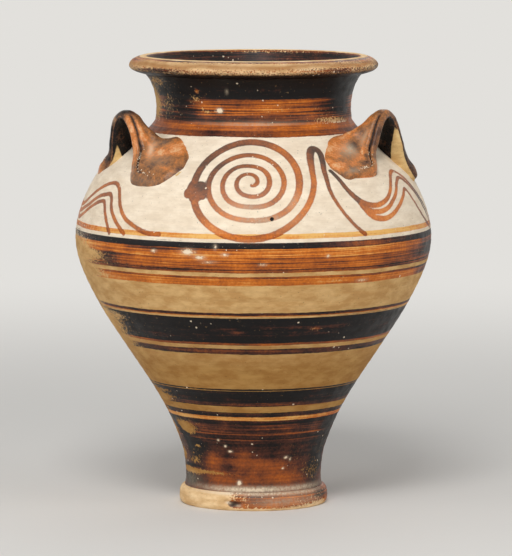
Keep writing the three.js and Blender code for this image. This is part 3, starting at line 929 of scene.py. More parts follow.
def moved_by(tree, value, pattern, reach):
    """A value moved up and down by a pattern that runs round 0.5."""
    centred = add(tree, "Math", [pattern, -0.5], operation="ADD")
    return add(tree, "Math", [centred, reach, value], operation="MULTIPLY_ADD")


def layered(tree, colour, *layers):
    """A colour with others laid over it in turn, each given as (how much it covers, colour).

    A Mix node has its factor at input 0, its numbers at 2 and 3 and its colours at 6 and 7.
    """
    for share, over in layers:
        colour = add(tree, "Mix", {0: share, 6: colour, 7: over}, out=2, data_type="RGBA")
    return colour


def ramp_of(tree, share, colours, tones, scale=1.0):
    """The named colours that follow each other as a share rises, each given as (place, name)."""
    stops = [(at / scale, getattr(colours, tone)[:]) for at, tone in tones]
    return set_stops(add(tree, "ValToRGB", [share], out="Color"), stops)


def clay_ground(tree, mm, drawn, colours, tones, stain):
    """Smoothed fired clay: mottled by the fire, faintly brushed on the wheel, with dark grit."""
    height = add(tree, "SeparateXYZ", [mm], out="Z")
    wander = add(tree, "TexNoise", {"Vector": mm, "Scale": 1 / FIRE_WANDER, "Detail": 2})
    shifted = moved_by(tree, height, wander, WANDER_REACH)
    share = add(tree, "MapRange", [shifted, 0, HEIGHT])
    base = ramp_of(tree, share, colours, tones, HEIGHT)
    around = (1 / MOTTLE_STRETCH, 1 / MOTTLE_STRETCH, 1)
    flat = add(tree, "VectorMath", [mm, around], operation="MULTIPLY")
    mottle = add(
        tree, "TexNoise",
        {"Vector": flat, "Scale": 1 / FIRE_MOTTLE, "Detail": 5, "Roughness": 0.62},
    )
    brushed = add(
        tree, "TexNoise",
        {"Vector": drawn, "Scale": 1 / WHEEL_STREAK, "Detail": 3, "Roughness": 0.6},
    )
    grit = add(tree, "TexNoise", {"Vector": mm, "Scale": 1 / GRIT, "Detail": 1})
    level = add(tree, "MapRange", [mottle, *SPREAD, 0.88, 1.06])
    streak = add(tree, "MapRange", [brushed, *SPREAD, 0.97, 1.025])
    speck = add(tree, "MapRange", [grit, 0.725, 0.77, 1, 0.5])
    for change in (streak, speck):
        level = add(tree, "Math", [level, change], operation="MULTIPLY")
    stained = add(tree, "MapRange", [mottle, 0.62, 0.4])
    tint = layered(tree, (1, 1, 1, 1), (stained, (*linear(stain), 1)))
    base = add(tree, "VectorMath", [base, tint], operation="MULTIPLY")
    return add(tree, "VectorMath", {0: base, "Scale": level}, operation="SCALE")


def flakes(tree, mm, spacing, crowd, largest=0.34):
    """Small angular chips about a spacing apart: 1 is chipped. A higher crowd brings more.

    The largest is measured in spacings. Each cell's own random colour decides its chip's size.
    """
    bend = add(tree, "TexNoise", {"Vector": mm, "Scale": 1 / CHIP_BEND, "Detail": 2}, out="Color")
    bent = add(tree, "VectorMath", [bend, (1.6, 1.6, 1.2), mm], operation="MULTIPLY_ADD")
    gap = add(
        tree, "TexVoronoi", {"Vector": bent, "Scale": 1 / spacing}, out="Distance",
        distance="MANHATTAN",
    )
    luck = add(tree, "SeparateColor", [gap.node.outputs["Color"]])
    chance = add(tree, "Math", [luck, crowd], operation="ADD")
    radius = add(tree, "MapRange", [chance, 0.97, 1.25, 0, largest])
    inside = add(tree, "Math", [radius, gap], operation="SUBTRACT")
    return add(tree, "MapRange", [inside, 0, 0.05])


def held_paint(tree, mm, wear, size):
    """Where paint still holds on the clay, by how worn it is, in spots of a size: 1 is held."""
    ground = add(
        tree, "TexNoise", {"Vector": mm, "Scale": 1 / size, "Detail": 4, "Roughness": 0.7}
    )
    holding = add(tree, "MapRange", [ground, *SPREAD])
    left = add(tree, "Math", [holding, wear], operation="SUBTRACT")
    return add(tree, "MapRange", [left, -0.1, 0.1])


def crust(tree, fine, bloom, *shares):
    """How thick the pale crust and the painted highlights lie: by their share and other shares, broken
    up by the fine grain.
    """
    crust_and_highlight = add(tree, "MapRange", [fine, *SPREAD, 0.4, 1.3])
    for share in shares:
        crust_and_highlight = add(tree, "Math", [crust_and_highlight, share], operation="MULTIPLY")
    return add(tree, "Math", [crust_and_highlight, bloom], operation="MULTIPLY", use_clamp=True)


def glazed(tree, mm, colour, cover, relief, crust_and_highlight, shine=PAINT_SHINE):
    """The shader and output: half-gloss paint over matt clay, with fine relief in millimetres.

    Slip paint is a thin glassy clay, so it shines softly, duller under the pale crust and the painted
    highlights. Shine holds the roughness of its glossiest and its dullest patches.
    """
    patchy = add(tree, "TexNoise", {"Vector": mm, "Scale": 1 / GLOSS_PATCH, "Detail": 3})
    gloss = add(tree, "MapRange", [patchy, *SPREAD, *shine])
    rough = add(tree, "Mix", {0: cover, 2: CLAY_ROUGHNESS, 3: gloss}, data_type="FLOAT")
    dusty = add(tree, "Math", [crust_and_highlight, 0.3, rough], operation="MULTIPLY_ADD", use_clamp=True)
    grain = add(tree, "TexNoise", {"Vector": mm, "Scale": 1 / SKIN_GRAIN, "Detail": 2})
    height = add(tree, "Math", [grain, SKIN_RELIEF, relief], operation="MULTIPLY_ADD")
    bump = add(tree, "Bump", {"Height": height, "Strength": 1, "Distance": MM})
    shader = add(
        tree, "BsdfPrincipled",
        {
            "Base Color": colour, "Roughness": dusty, "Normal": bump, "IOR": 1.5,
            "Specular IOR Level": 0.24,
        },
    )
    add(tree, "OutputMaterial", {"Surface": shader})


def which_band(tree, mm, bands, low, high):
    """The band that a place lies in, by an edge that wavers as the hand did.

    Gives how thick its paint lies, how streaky it is and whether it is painted at all. The bands
    are found by the reading of each vertex, a height on the wall and a length on foot and lip.
    """
    reading = add(tree, "Attribute", out="Fac", attribute_name="reading")
    sway = add(tree, "TexNoise", {"Vector": mm, "Scale": 1 / HAND_SWAY, "Detail": 1})
    frill = add(tree, "TexNoise", {"Vector": mm, "Scale": 1 / EDGE_FRILL, "Detail": 3})
    edge = add(tree, "Math", [sway, SWAY_REACH, reading], operation="MULTIPLY_ADD")
    edge = add(tree, "Math", [frill, FRILL_REACH, edge], operation="MULTIPLY_ADD")
    middle = (SWAY_REACH + FRILL_REACH) / 2
    share = add(tree, "MapRange", [edge, low + middle, high + middle])
    ends = [band[0] for band in bands[1:]] + [high]
    stops = [
        (max(0.0, (start - low) / (high - low)), (max(paint, 0), streaky / 2, float(paint >= 0)))
        for (start, paint, streaky), end in zip(bands, ends)
        if end > low and start < high
    ]
    banded = set_stops(add(tree, "ValToRGB", [share], out="Color"), stops, "CONSTANT")
    thickness = add(tree, "SeparateColor", [banded], out="Red")
    return thickness, thickness.node.outputs["Green"], thickness.node.outputs["Blue"]


def brush_figures(tree, fine, depth, painted):
    """Lays the brush strokes over the bands: pooled towards their middle, with ragged edges."""
    distance = add(tree, "Attribute", out="Fac", attribute_name="stroke")
    laid = add(tree, "Attribute", out="Fac", attribute_name="stroke_paint")
    ragged = add(tree, "Math", [fine, distance], operation="ADD")
    stroke = add(tree, "MapRange", [ragged, 0.9, 0.1, 0, 0.93])
    pooled = add(tree, "MapRange", [ragged, -1.6, 0.3, 0, 0.08])
    figure = add(tree, "Math", [laid, pooled], operation="ADD")
    figure = moved_by(tree, figure, fine, 0.36)
    unstroked = add(tree, "Math", [stroke, 0.001], operation="LESS_THAN")
    depth = add(tree, "Mix", {0: unstroked, 2: figure, 3: depth}, data_type="FLOAT")
    return depth, add(tree, "Math", [painted, stroke], operation="MAXIMUM")


def slip_paint(
    name, colours, bands, low, high, tones=CLAY_TONES, figured=False, grain=WORN_GRAIN
):
    """Fired slip paint on smoothed clay, put on with a brush as the jar turned.

    Thin paint fires orange and thick paint black, so each band is streaked along the turning, and
    worn paint shows the clay, in spots of the grain's size.
    """
    material, tree, mm, drawn = new_surface(name)
    wear, added, bloom = (
        add(tree, "Attribute", out="Fac", attribute_name=key)
        for key in ("wear", "added_paint", "bloom")
    )
    fine = add(
        tree, "TexNoise", {"Vector": mm, "Scale": 1 / PAINT_GRAIN, "Detail": 3, "Roughness": 0.6}
    )

    # How thick the paint lies: streaked by bristles, swept by the brush, then blotched by the fire
    streaks = add(
        tree, "TexNoise", {"Vector": drawn, "Scale": 1 / BRISTLE, "Detail": 3, "Roughness": 0.68}
    )
    sweeps = add(tree, "TexNoise", {"Vector": drawn, "Scale": 1 / BRUSH_SWEEP, "Detail": 2})
    blotches = add(
        tree, "TexNoise", {"Vector": mm, "Scale": 1 / FIRE_BLOTCH, "Detail": 4, "Roughness": 0.6}
    )
    depth, streaky, painted = which_band(tree, mm, bands, low, high)
    line = add(tree, "MapRange", [streaks, 0.28, 0.72, -0.62, 0.62])
    depth = add(tree, "Math", [line, streaky, depth], operation="MULTIPLY_ADD")
    depth = moved_by(tree, depth, sweeps, 0.3)
    depth = moved_by(tree, depth, fine, 0.34)
    if figured:
        depth, painted = brush_figures(tree, fine, depth, painted)
    depth = moved_by(tree, depth, blotches, 0.5)
    depth = add(tree, "Math", [depth, added], operation="ADD", use_clamp=True)

    # Where it holds, and where small chips have come off it, in clusters and where it is worn
    kept = held_paint(tree, mm, wear, grain)
    cover = add(tree, "Math", [painted, kept], operation="MULTIPLY")
    gathered = add(tree, "TexNoise", {"Vector": mm, "Scale": 1 / CHIP_CLUSTER, "Detail": 1})
    crowd = add(tree, "Math", [wear, 0.12, gathered], operation="MULTIPLY_ADD")
    crowd = add(tree, "Math", [crowd, 0.36], operation="SUBTRACT")
    chips = flakes(tree, mm, CHIP_SPACING, crowd)
    chips = add(tree, "Math", [chips, cover], operation="MULTIPLY")
    sound = add(tree, "Math", [1.0, wear], operation="SUBTRACT", use_clamp=True)
    # Pale crust over sound paint, which also paints the highlights along the neck's root and the foot's
    # ledge
    crust_and_highlight = crust(tree, fine, bloom, sound, cover)

    clay = clay_ground(tree, mm, drawn, colours, tones, SLIP_STAIN if figured else WALL_STAIN)
    paint = ramp_of(tree, depth, colours, PAINT_TONES)
    pale = (*colours.chip, 1)
    colour = layered(
        tree, clay, (bloom, pale), (cover, paint), (chips, pale), (crust_and_highlight, (*colours.bloom, 1))
    )
    if figured:
        hollow = add(tree, "Attribute", out="Fac", attribute_name="pit")
        dark = add(tree, "MapRange", [hollow, -0.2, 0.3])
        colour = layered(tree, colour, (dark, (*linear(PIT_SHADE), 1)))

    relief = add(tree, "Math", [streaks, BRISTLE_RELIEF], operation="MULTIPLY")
    relief = add(tree, "Math", [cover, PAINT_THICKNESS, relief], operation="MULTIPLY_ADD")
    relief = add(tree, "Math", [chips, -CHIP_DEPTH, relief], operation="MULTIPLY_ADD")
    glazed(tree, mm, colour, cover, relief, crust_and_highlight)
    return material


def mouth_paint(name, colours):
    """Dark slip paint all over the inside of the mouth, brushed as the jar turned."""
    return slip_paint(name, colours, ((0, DARK, 0.6),), 0, 1)


def inner_clay(colours):
    """Bare fired clay inside the jar: matt, never slipped, with the finger marks of throwing."""
    material, tree, mm, drawn = new_surface("bare clay inside")
    marks = add(tree, "TexNoise", {"Vector": drawn, "Scale": 1 / FINGER_MARK, "Detail": 2})
    relief = add(tree, "Math", [marks, FINGER_RELIEF], operation="MULTIPLY")
    colour = clay_ground(tree, mm, drawn, colours, INSIDE_TONES, BARE_STAIN)
    glazed(tree, mm, colour, 0.0, relief, 0.0)
    return material


def handle_paint(colours):
    """Slip paint on the hand-shaped handles: thin over buff clay, so brown with orange patches, with
    painted shade and highlights.
    """
    material, tree, mm, drawn = new_surface("brown slip paint on handles")
    painted, added, flaked, bloom = (
        add(tree, "Attribute", out="Fac", attribute_name=key)
        for key in ("painted", "added_paint", "flaked", "bloom")
    )
    frill = add(tree, "TexNoise", {"Vector": mm, "Scale": 1 / FILM_FRILL, "Detail": 3})
    blotches = add(
        tree, "TexNoise", {"Vector": mm, "Scale": 1 / FILM_BLOTCH, "Detail": 5, "Roughness": 0.6}
    )
    fine = add(
        tree, "TexNoise", {"Vector": mm, "Scale": 1 / FILM_GRAIN, "Detail": 3, "Roughness": 0.65}
    )
    edge = add(tree, "Math", [frill, 0.5, painted], operation="MULTIPLY_ADD")
    cover = add(tree, "MapRange", [edge, 0.6, 0.9])
    depth = add(tree, "MapRange", [blotches, *SPREAD, 0.29, 0.67])
    depth = moved_by(tree, depth, fine, 0.46)
    depth = add(tree, "Math", [depth, added], operation="ADD", use_clamp=True)
    crowd = add(tree, "Math", [flaked, 0.1], operation="SUBTRACT")
    chips = flakes(tree, mm, HANDLE_CHIP_SPACING, crowd, largest=0.6)
    chips = add(tree, "Math", [chips, cover], operation="MULTIPLY")
    crust_and_highlight = crust(tree, fine, bloom)
    clay = clay_ground(tree, mm, drawn, colours, HANDLE_CLAY_TONES, BARE_STAIN)
    paint = ramp_of(tree, depth, colours, FILM_TONES)
    colour = layered(
        tree, clay, (cover, paint), (chips, (*colours.chip, 1)), (crust_and_highlight, (*colours.bloom, 1))
    )
    relief = add(tree, "Math", [fine, FILM_RELIEF], operation="MULTIPLY")
    relief = add(tree, "Math", [chips, -HANDLE_CHIP_DEPTH, relief], operation="MULTIPLY_ADD")
    glazed(tree, mm, colour, cover, relief, crust_and_highlight, HANDLE_SHINE)
    return material


def colour_property(name, description, code):
    """A colour that a user may change, from its sRGB hex code."""
    return FloatVectorProperty(
        name=name, description=description, subtype="COLOR", default=linear(code)
    )


class JarSizes(bpy.types.PropertyGroup):
    """How finely the jar is turned."""

    around: IntProperty(name="Steps round", description="Steps round the jar", default=480, min=48)
    step: FloatProperty(
        name="Skin step", description="Length of a step up the painted skin",
        default=2.0 * MM, unit="LENGTH",
    )
    inner_step: FloatProperty(
        name="Inside step", description="Length of a step up the inside",
        default=7.0 * MM, unit="LENGTH",
    )
    fillet: FloatProperty(
        name="Handle fillet", description="Height and width of the fillet round a handle's root",
        default=1.4 * MM, unit="LENGTH",
    )


class JarColours(bpy.types.PropertyGroup):
    """Colours of the clay and of the slip paint, from thin to thick."""

    slip: colour_property("Slip", "Cream slip of the shoulder", "F3E3CC")
    # A darker, yellower copy of the slip: painted shade on the bare clay inside a handle's arch
    shaded_slip: colour_property("Slip under handles", "Slip inside the arch of a handle", "E2C288")
    buff: colour_property("Buff clay", "Clay of the belly", "DAB278")
    tan: colour_property("Tan clay", "Clay of the lower wall", "B88C4E")
    worn_lip: colour_property("Worn lip", "Clay of the worn lip", "AE8050")
    # Also the painted highlight along the lip's roll
    worn_edge_and_highlight: colour_property("Worn edge", "Pale clay where an edge is rubbed bare", "F6D6A6")
    chip: colour_property("Chip", "Clay that a chip lays bare", "EFDCC0")
    # The pale crust's colour, also that of the painted highlights along the neck's root and the foot's
    # ledge
    bloom: colour_property("Bloom", "Pale crust in the corners", "DCC8AC")
    wash: colour_property("Wash", "The thinnest paint", "EBB768")
    orange: colour_property("Orange", "Thin paint", "D0711E")
    red_brown: colour_property("Red-brown", "Middling paint", "984E1E")
    brown: colour_property("Brown", "Thick paint", "542C1E")
    black: colour_property("Black", "The thickest paint", "0F0B0C")
    peach_film: colour_property("Peach film", "The thinnest paint on the handles", "E0AE7E")
    orange_film: colour_property("Orange film", "Thin paint on the handles", "D27E40")
    tan_film: colour_property("Tan film", "Middling paint on the handles", "9E6A40")
    brown_film: colour_property("Brown film", "Thick paint on the handles", "60402E")


class JarStage(bpy.types.PropertyGroup):
    """The floor, the lamps and the camera."""

    floor: colour_property("Floor", "Colour of the floor and backdrop", "E2E0DC")
    key: FloatProperty(name="Key", description="Power of the main lamp", default=58, unit="POWER")
    fill: FloatProperty(name="Fill", description="Power of each side lamp", default=11, unit="POWER")
    world: FloatProperty(name="World", description="Strength of the light all round", default=0.3)
    distance: FloatProperty(
        name="Distance", description="From the camera to the jar's axis", default=4.7,
        unit="LENGTH",
    )
    rise: FloatProperty(
        name="Rise", description="Camera height above the floor", default=0.714, unit="LENGTH"
    )
    aside: FloatProperty(
        name="Aside", description="Camera to the right of the jar's axis", default=2.46 * MM,
        unit="LENGTH",
    )
    tilt: FloatProperty(
        name="Tilt", description="How far the camera looks down", default=math.radians(5.93),
        subtype="ANGLE",
    )
    lens: FloatProperty(name="Lens", description="Focal length on a 36 mm sensor", default=304.4)


def climbed(low, high, step):
    """Even heights from low to high about a step apart, closer near both ends."""
    count = max(4, round((high - low) / step))
    even = np.linspace(low, high, count + 1)
    return np.sort(np.concatenate([even, low + RING_END_STEPS, high - RING_END_STEPS]))


def thrown_ring(node, lower, upper, patches, paints, sizes, fine):
    """One thrown ring of the wall between two joints, with steps of a fine share of the usual."""
    low_out, low_in = JOINTS[lower]
    high_out, high_in = JOINTS[upper]
    up = climbed(low_out, high_out, fine * sizes.step / MM)
    count = max(3, round((high_in - low_in) / (sizes.inner_step / MM)))
    down = np.linspace(high_in, low_in, count + 1)
    outside = np.stack([outer_radius(up), up], axis=-1)
    inside = np.stack([inner_radius(down), down], axis=-1)
    piece = turned_piece("jar_" + node, outside, inside, up, sizes.around)
    write_patches(piece.data, patches)
    give_materials(piece, *paints)
    smooth(piece)
    finish_piece(piece, node)
    return piece


def ring_paint(name, colours, lower, upper, figured=False):
    """The bands of the wall between two joints, and a little over where edges wander past them."""
    low = JOINTS[lower][0] - BAND_MARGIN
    high = JOINTS[upper][0] + BAND_MARGIN
    return slip_paint(name, colours, BANDS, low, high, figured=figured)


def skin_lengths(line):
    """Length along a line of points, from its first."""
    return np.concatenate([[0], np.cumsum(np.linalg.norm(np.diff(line, axis=0), axis=1))])


class JAR_OT_foot(bpy.types.Operator):
    """Disc foot with its resting ring, shallow hollow and worn, chipped edge"""

    bl_idname = "jar.add_foot"
    bl_label = "Foot"

    def execute(self, context):
        sizes = context.scene.jar_sizes
        colours = context.scene.jar_colours
        top_out, top_in = JOINTS["foot"]
        edge = through(FOOT_EDGE, FOOT_EDGE_POINTS)
        outside = np.vstack([FOOT_UNDERSIDE, edge[:-1], [(outer_radius(top_out), top_out)]])
        inside = np.vstack([[(inner_radius(top_in), top_in)], FOOT_FLOOR])
        lengths = skin_lengths(outside)
        readings = lengths - lengths[len(FOOT_UNDERSIDE)]
        piece = turned_piece("jar_foot", outside, inside, readings, sizes.around, closed=False)
        knock_chips(piece.data, FOOT_CHIPS, FOOT_RIM)
        write_patches(piece.data, FOOT_PATCHES)
        low, high = FOOT_BANDS[0][0], float(readings[-1]) + 1
        paint = slip_paint("worn slip paint on foot", colours, FOOT_BANDS, low, high, FOOT_TONES)
        give_materials(piece, paint, inner_clay(colours))
        smooth(piece)
        finish_piece(piece, "foot")
        return {"FINISHED"}


class JAR_OT_rings(bpy.types.Operator):
    """Stem, lower wall, belly and neck, the banded rings of the wall"""

    bl_idname = "jar.add_rings"
    bl_label = "Banded rings"

    def execute(self, context):
        sizes = context.scene.jar_sizes
        colours = context.scene.jar_colours
        bare = inner_clay(colours)
        mouth = mouth_paint("slip paint in the neck", colours)
        for node, lower, upper, patches, slot, inside, fine in (
            ("stem", "foot", "stem", STEM_PATCHES, "stem_paint", bare, 0.5),
            ("lower_wall", "stem", "lower_wall", LOWER_PATCHES, "lower_wall_clay", bare, 1),
            ("belly", "lower_wall", "belly", BELLY_PATCHES, "belly_paint", bare, 0.5),
            ("neck", "shoulder", "neck", NECK_PATCHES, "neck_paint", mouth, 0.5),
        ):
            paint = ring_paint("banded slip paint on " + node, colours, lower, upper)
            thrown_ring(node, lower, upper, patches, (paint, inside), sizes, fine)
        return {"FINISHED"}


class JAR_OT_shoulder(bpy.types.Operator):
    """Cream shoulder with its three spirals and the strokes under the handles"""

    bl_idname = "jar.add_shoulder"
    bl_label = "Shoulder"

    def execute(self, context):
        sizes = context.scene.jar_sizes
        colours = context.scene.jar_colours
        paint = ring_paint("painted cream slip", colours, "belly", "shoulder", figured=True)
        paints = (paint, inner_clay(colours))
        piece = thrown_ring(
            "shoulder", "belly", "shoulder", SHOULDER_PATCHES, paints, sizes, 0.6
        )
        write_strokes(piece.data)
        sink_pit(piece.data)
        return {"FINISHED"}


class JAR_OT_lip(bpy.types.Operator):
    """Wide rolled lip with its worn painted lines"""

    bl_idname = "jar.add_lip"
    bl_label = "Lip"

    def execute(self, context):
        sizes = context.scene.jar_sizes
        colours = context.scene.jar_colours
        root_out, root_in = JOINTS["neck"]
        outside = through(LIP_OUTLINE, LIP_POINTS)
        outside[0] = (outer_radius(root_out), root_out)
        inside = np.array([(inner_radius(root_in), root_in)])
        readings = skin_lengths(outside)
        piece = turned_piece("jar_lip", outside, inside, readings, sizes.around)
        knock_chips(piece.data, LIP_NICKS, LIP_RIM)
        write_patches(piece.data, LIP_PATCHES, up_the_skin=True)
        low, high = LIP_BANDS[0][0], float(readings[-1]) + 5
        paint = slip_paint(
            "worn slip paint on lip", colours, LIP_BANDS, low, high, LIP_TONES,
            grain=LIP_WORN_GRAIN,
        )
        give_materials(piece, paint, mouth_paint("slip paint in the mouth", colours))
        smooth(piece)
        finish_piece(piece, "lip")
        return {"FINISHED"}


def section_track(which, count):
    """A smooth track through one vector of the handle's sections, mirrored for the second leg."""
    leg = np.array([section[which] for section in HANDLE_SECTIONS], float)
    mirrored = leg[:0:-1] * (1, -1, 1)
    return through(np.vstack([mirrored, leg]), count, held=False)


def wall_frame(points):
    """Each point's height over the wall, and the wall's outward direction there."""
    azimuth, radius = round_the_axis(points)
    turn = np.radians(azimuth)
    slope = np.interp(points[:, 2], WALL_HEIGHTS, WALL_SLOPES)
    stretch = np.sqrt(1 + slope**2)
    outward = np.stack([np.sin(turn), -np.cos(turn), -slope], axis=-1) / stretch[:, None]
    return (radius - outer_radius(points[:, 2])) / stretch, outward


def vertex_normals(mesh):
    """A mesh's vertex normals as an array."""
    flat = np.empty(3 * len(mesh.vertices))
    mesh.vertex_normals.foreach_get("vector", flat)
    return flat.reshape(-1, 3)


def handle_places(mesh):
    """Where each vertex of a round ball goes on a handle: its ring, place across and side."""
    points = coordinates(mesh)
    polar = np.arccos(np.clip(points[:, 2] / np.linalg.norm(points, axis=1), -1, 1))
    ring = np.rint(polar / np.pi * HANDLE_RINGS).astype(int)
    facet = np.rint(np.arctan2(points[:, 1], points[:, 0]) / (2 * np.pi) * HANDLE_FACETS)
    angle = 2 * np.pi * facet / HANDLE_FACETS
    power = 2 / HANDLE_SQUARENESS
    on_strap = (ring > 0) & (ring < HANDLE_RINGS)
    across = np.sign(np.cos(angle)) * np.abs(np.cos(angle)) ** power * on_strap
    side = np.sign(np.sin(angle)) * np.abs(np.sin(angle)) ** power * on_strap
    return ring, across, side


def bend_into_arch(mesh, ring, across, side, at):
    """Places the vertices of one handle: its strap, its turn and its place on the jar.

    Gives how far along the strap each lies, and half the strap's width there.
    """
    along = np.linspace(-1, 1, HANDLE_RINGS + 1)[ring]
    leg = np.abs(along)
    changes = np.where((along > 0)[:, None], at["plus_leg"], at["minus_leg"])
    upper = 1 + (changes[:, 0] - 1) * span_share(leg, UPPER_SPAN)
    lower = 1 + (changes[:, 1] - 1) * span_share(leg, LOWER_SPAN)
    reach = across * np.where(across < 0, upper, lower)
    middle, half_width, half_thick = (
        section_track(which, HANDLE_RINGS + 1)[ring] for which in range(3)
    )
    points = middle + half_width * reach[:, None] + half_thick * side[:, None]
    points[:, 0] += changes[:, 3] * span_share(leg, BOW_SPAN)
    points[:, 2] += changes[:, 2] * span_share(leg, LOWER_SPAN) * np.maximum(across, 0) ** 2
    turn = np.radians(at["askew"]) * smoothstep(points[:, 2], ASKEW_FROM, ASKEW_TO)
    pivot = HANDLE_SECTIONS[0][0][0]
    outward = points[:, 0] - pivot
    sideways = points[:, 1].copy()
    points[:, 0] = pivot + outward * np.cos(turn) - sideways * np.sin(turn)
    points[:, 1] = sideways * np.cos(turn) + outward * np.sin(turn)
    azimuth = np.radians(at["azimuth"])
    x = points[:, 0] * np.sin(azimuth) + points[:, 1] * np.cos(azimuth)
    y = -points[:, 0] * np.cos(azimuth) + points[:, 1] * np.sin(azimuth)
    place(mesh, np.stack([x, y, points[:, 2]], axis=-1))
    return along, np.linalg.norm(half_width, axis=1)


def press_by_hand(mesh, along, across, side, half_width):
    """Presses the crease, the rolls beside it, the thumb's hollow and soft lumps into a handle.

    Gives how much painted shade the crease's dark line lays on each vertex, and how flaked it is beside
    the crease.
    """
    points = coordinates(mesh)
    leg = np.abs(along)
    gap = (across - np.interp(leg, CREASE_ALONG, CREASE_ACROSS)) * half_width
    outside = side > 0
    shown = span_share(leg, CREASE_SPAN) * outside
    groove = CREASE_DEPTH * bell(gap, 0, CREASE_WIDTH)
    rolls = sum(height * bell(gap, at, width) for height, at, width in CREASE_ROLLS)
    depth, leg_at, length, across_at, width = THUMB_HOLLOW
    hollow = depth * bell(leg, leg_at, length) * bell(across, across_at, width) * outside
    lumps = sum(
        height * np.array([noise.noise(Vector(point) / size) for point in points])
        for height, size in HANDLE_LUMPS
    )
    push = shown * (rolls - groove) - hollow + lumps - HANDLE_SETBACK
    place(mesh, points + vertex_normals(mesh) * push[:, None])
    creased = shown * bell(gap, 0, CREASE_LINE)
    flaked = span_share(leg, FLAKED_SPAN) * bell(gap, FLAKED_BESIDE, FLAKED_WIDTH) * outside
    return creased, flaked


def seat_handle(mesh, fillet):
    """Spreads a handle's root on the wall in a small fillet, and lifts what is deep under the skin."""
    points = coordinates(mesh)
    normals = vertex_normals(mesh)
    over, outward = wall_frame(points)
    level = normals - (normals * outward).sum(axis=1)[:, None] * outward
    share = np.clip(1 - over / fillet, 0, 1)
    push = fillet * (1 - np.sqrt(np.maximum(0, 1 - share**2)))
    points += level * push[:, None]
    over, outward = wall_frame(points)
    points += outward * np.maximum(-ROOT_DEPTH - over, 0)[:, None]
    place(mesh, points)


def write_handle_paint(mesh, node, along, across, side, creased, flaked):
    """Writes where a handle is painted, how thick with painted shade and highlights, where it has a pale
    crust and where it is flaked.
    """
    # Painted shade on the inner side, inside the arch, and along the crease
    added = INNER_SIDE_SHADE * (1 - smoothstep(side, -0.6, -0.1)) + CREASE_SHADE * creased
    bloom = np.zeros(len(along))
    outside = side > -0.2
    # Tones darken and lighten the paint; some lighter ones are painted highlights
    for along_at, across_at, length, width, paint, pale in HANDLE_TONES[node]:
        weight = bell(along, along_at, length) * bell(across, across_at, width) * outside
        added += paint * weight
        bloom += pale * weight
    painted = np.ones(len(along))
    for leg, start, end, begins, reach in BARE_INSIDES[node]:
        inner = (np.sign(along) == leg) * (1 - smoothstep(side, reach - 0.3, reach))
        bare = smoothstep(np.abs(along), begins, begins + 0.2)

        # The bare place is a wedge, narrow at the crown and whole some way down the leg
        half_width = (end - start) / 2 * smoothstep(np.abs(along), begins, begins + 0.35)
        gap = np.abs(across - (start + end) / 2) - half_width
        painted -= inner * bare * (1 - smoothstep(gap, -0.1, 0.08))
    for name, values in (
        ("painted", painted), ("added_paint", added), ("bloom", bloom), ("flaked", flaked)
    ):
        write_values(mesh, name, values)


class JAR_OT_handles(bpy.types.Operator):
    """Three upright arched handles, spread on the shoulder and painted brown"""

    bl_idname = "jar.add_handles"
    bl_label = "Handles"

    def execute(self, context):
        sizes = context.scene.jar_sizes
        paint = handle_paint(context.scene.jar_colours)
        for node, at in HANDLES.items():
            deselect()
            bpy.ops.mesh.primitive_uv_sphere_add(
                segments=HANDLE_FACETS, ring_count=HANDLE_RINGS, radius=BALL_RADIUS * MM
            )
            piece = bpy.context.object
            piece.name = "jar_" + node
            mesh = piece.data
            ring, across, side = handle_places(mesh)
            along, half_width = bend_into_arch(mesh, ring, across, side, at)
            bpy.ops.object.mode_set(mode="EDIT")
            bpy.ops.mesh.select_all(action="SELECT")
            bpy.ops.mesh.normals_make_consistent(inside=False)
            bpy.ops.object.mode_set(mode="OBJECT")
            creased, flaked = press_by_hand(mesh, along, across, side, half_width)
            seat_handle(mesh, sizes.fillet / MM)
            write_handle_paint(mesh, node, along, across, side, creased, flaked)
            mesh.materials.append(paint)
            smooth(piece, degrees=60)
            finish_piece(piece, node)
        return {"FINISHED"}


# The stage in metres: its floor, the distances from the jar where the floor stops taking shadow
# and is evenly pale, and the lamps as (name, place, point looked at, size, which power)
FLOOR_SIZE = 80
SHADOWED, EVENLY_PALE = 0.5, 2.2
LAMPS = (
    ("key", (-0.3, -2.3, 2.4), (0, 0, 0.25), 1.1, "key"),
    ("left_fill", (-2.4, -1.2, 1.2), (0, 0, 0.22), 1.2, "fill"),
    ("right_fill", (2.4, -1.2, 1.2), (0, 0, 0.22), 1.2, "fill"),
    ("back_fill", (0.5, 2.6, 2.0), (0, 0, 0.25), 1.5, "fill"),
)
SENSOR_WIDTH = 36  # millimetres
VIEW_END = 200  # how far the camera sees


def lamp(name, at, aim, size, power):
    """A soft square lamp that looks at a point."""
    deselect()
    bpy.ops.object.light_add(type="AREA", location=at)
    made = bpy.context.object
    made.name = name
    made.data.shape = "SQUARE"
    made.data.size = size
    made.data.energy = power
    made.rotation_euler = (Vector(aim) - Vector(at)).to_track_quat("-Z", "Y").to_euler()


def seen_directly(tree):
    """1 for a ray from the camera, a mirror or a window, and 0 for one that gathers light."""
    camera = add(tree, "LightPath", out="Is Camera Ray")
    glossy = camera.node.outputs["Is Glossy Ray"]
    clear = camera.node.outputs["Is Transmission Ray"]
    seen = add(tree, "Math", [camera, glossy], operation="MAXIMUM")
    return add(tree, "Math", [seen, clear], operation="MAXIMUM")


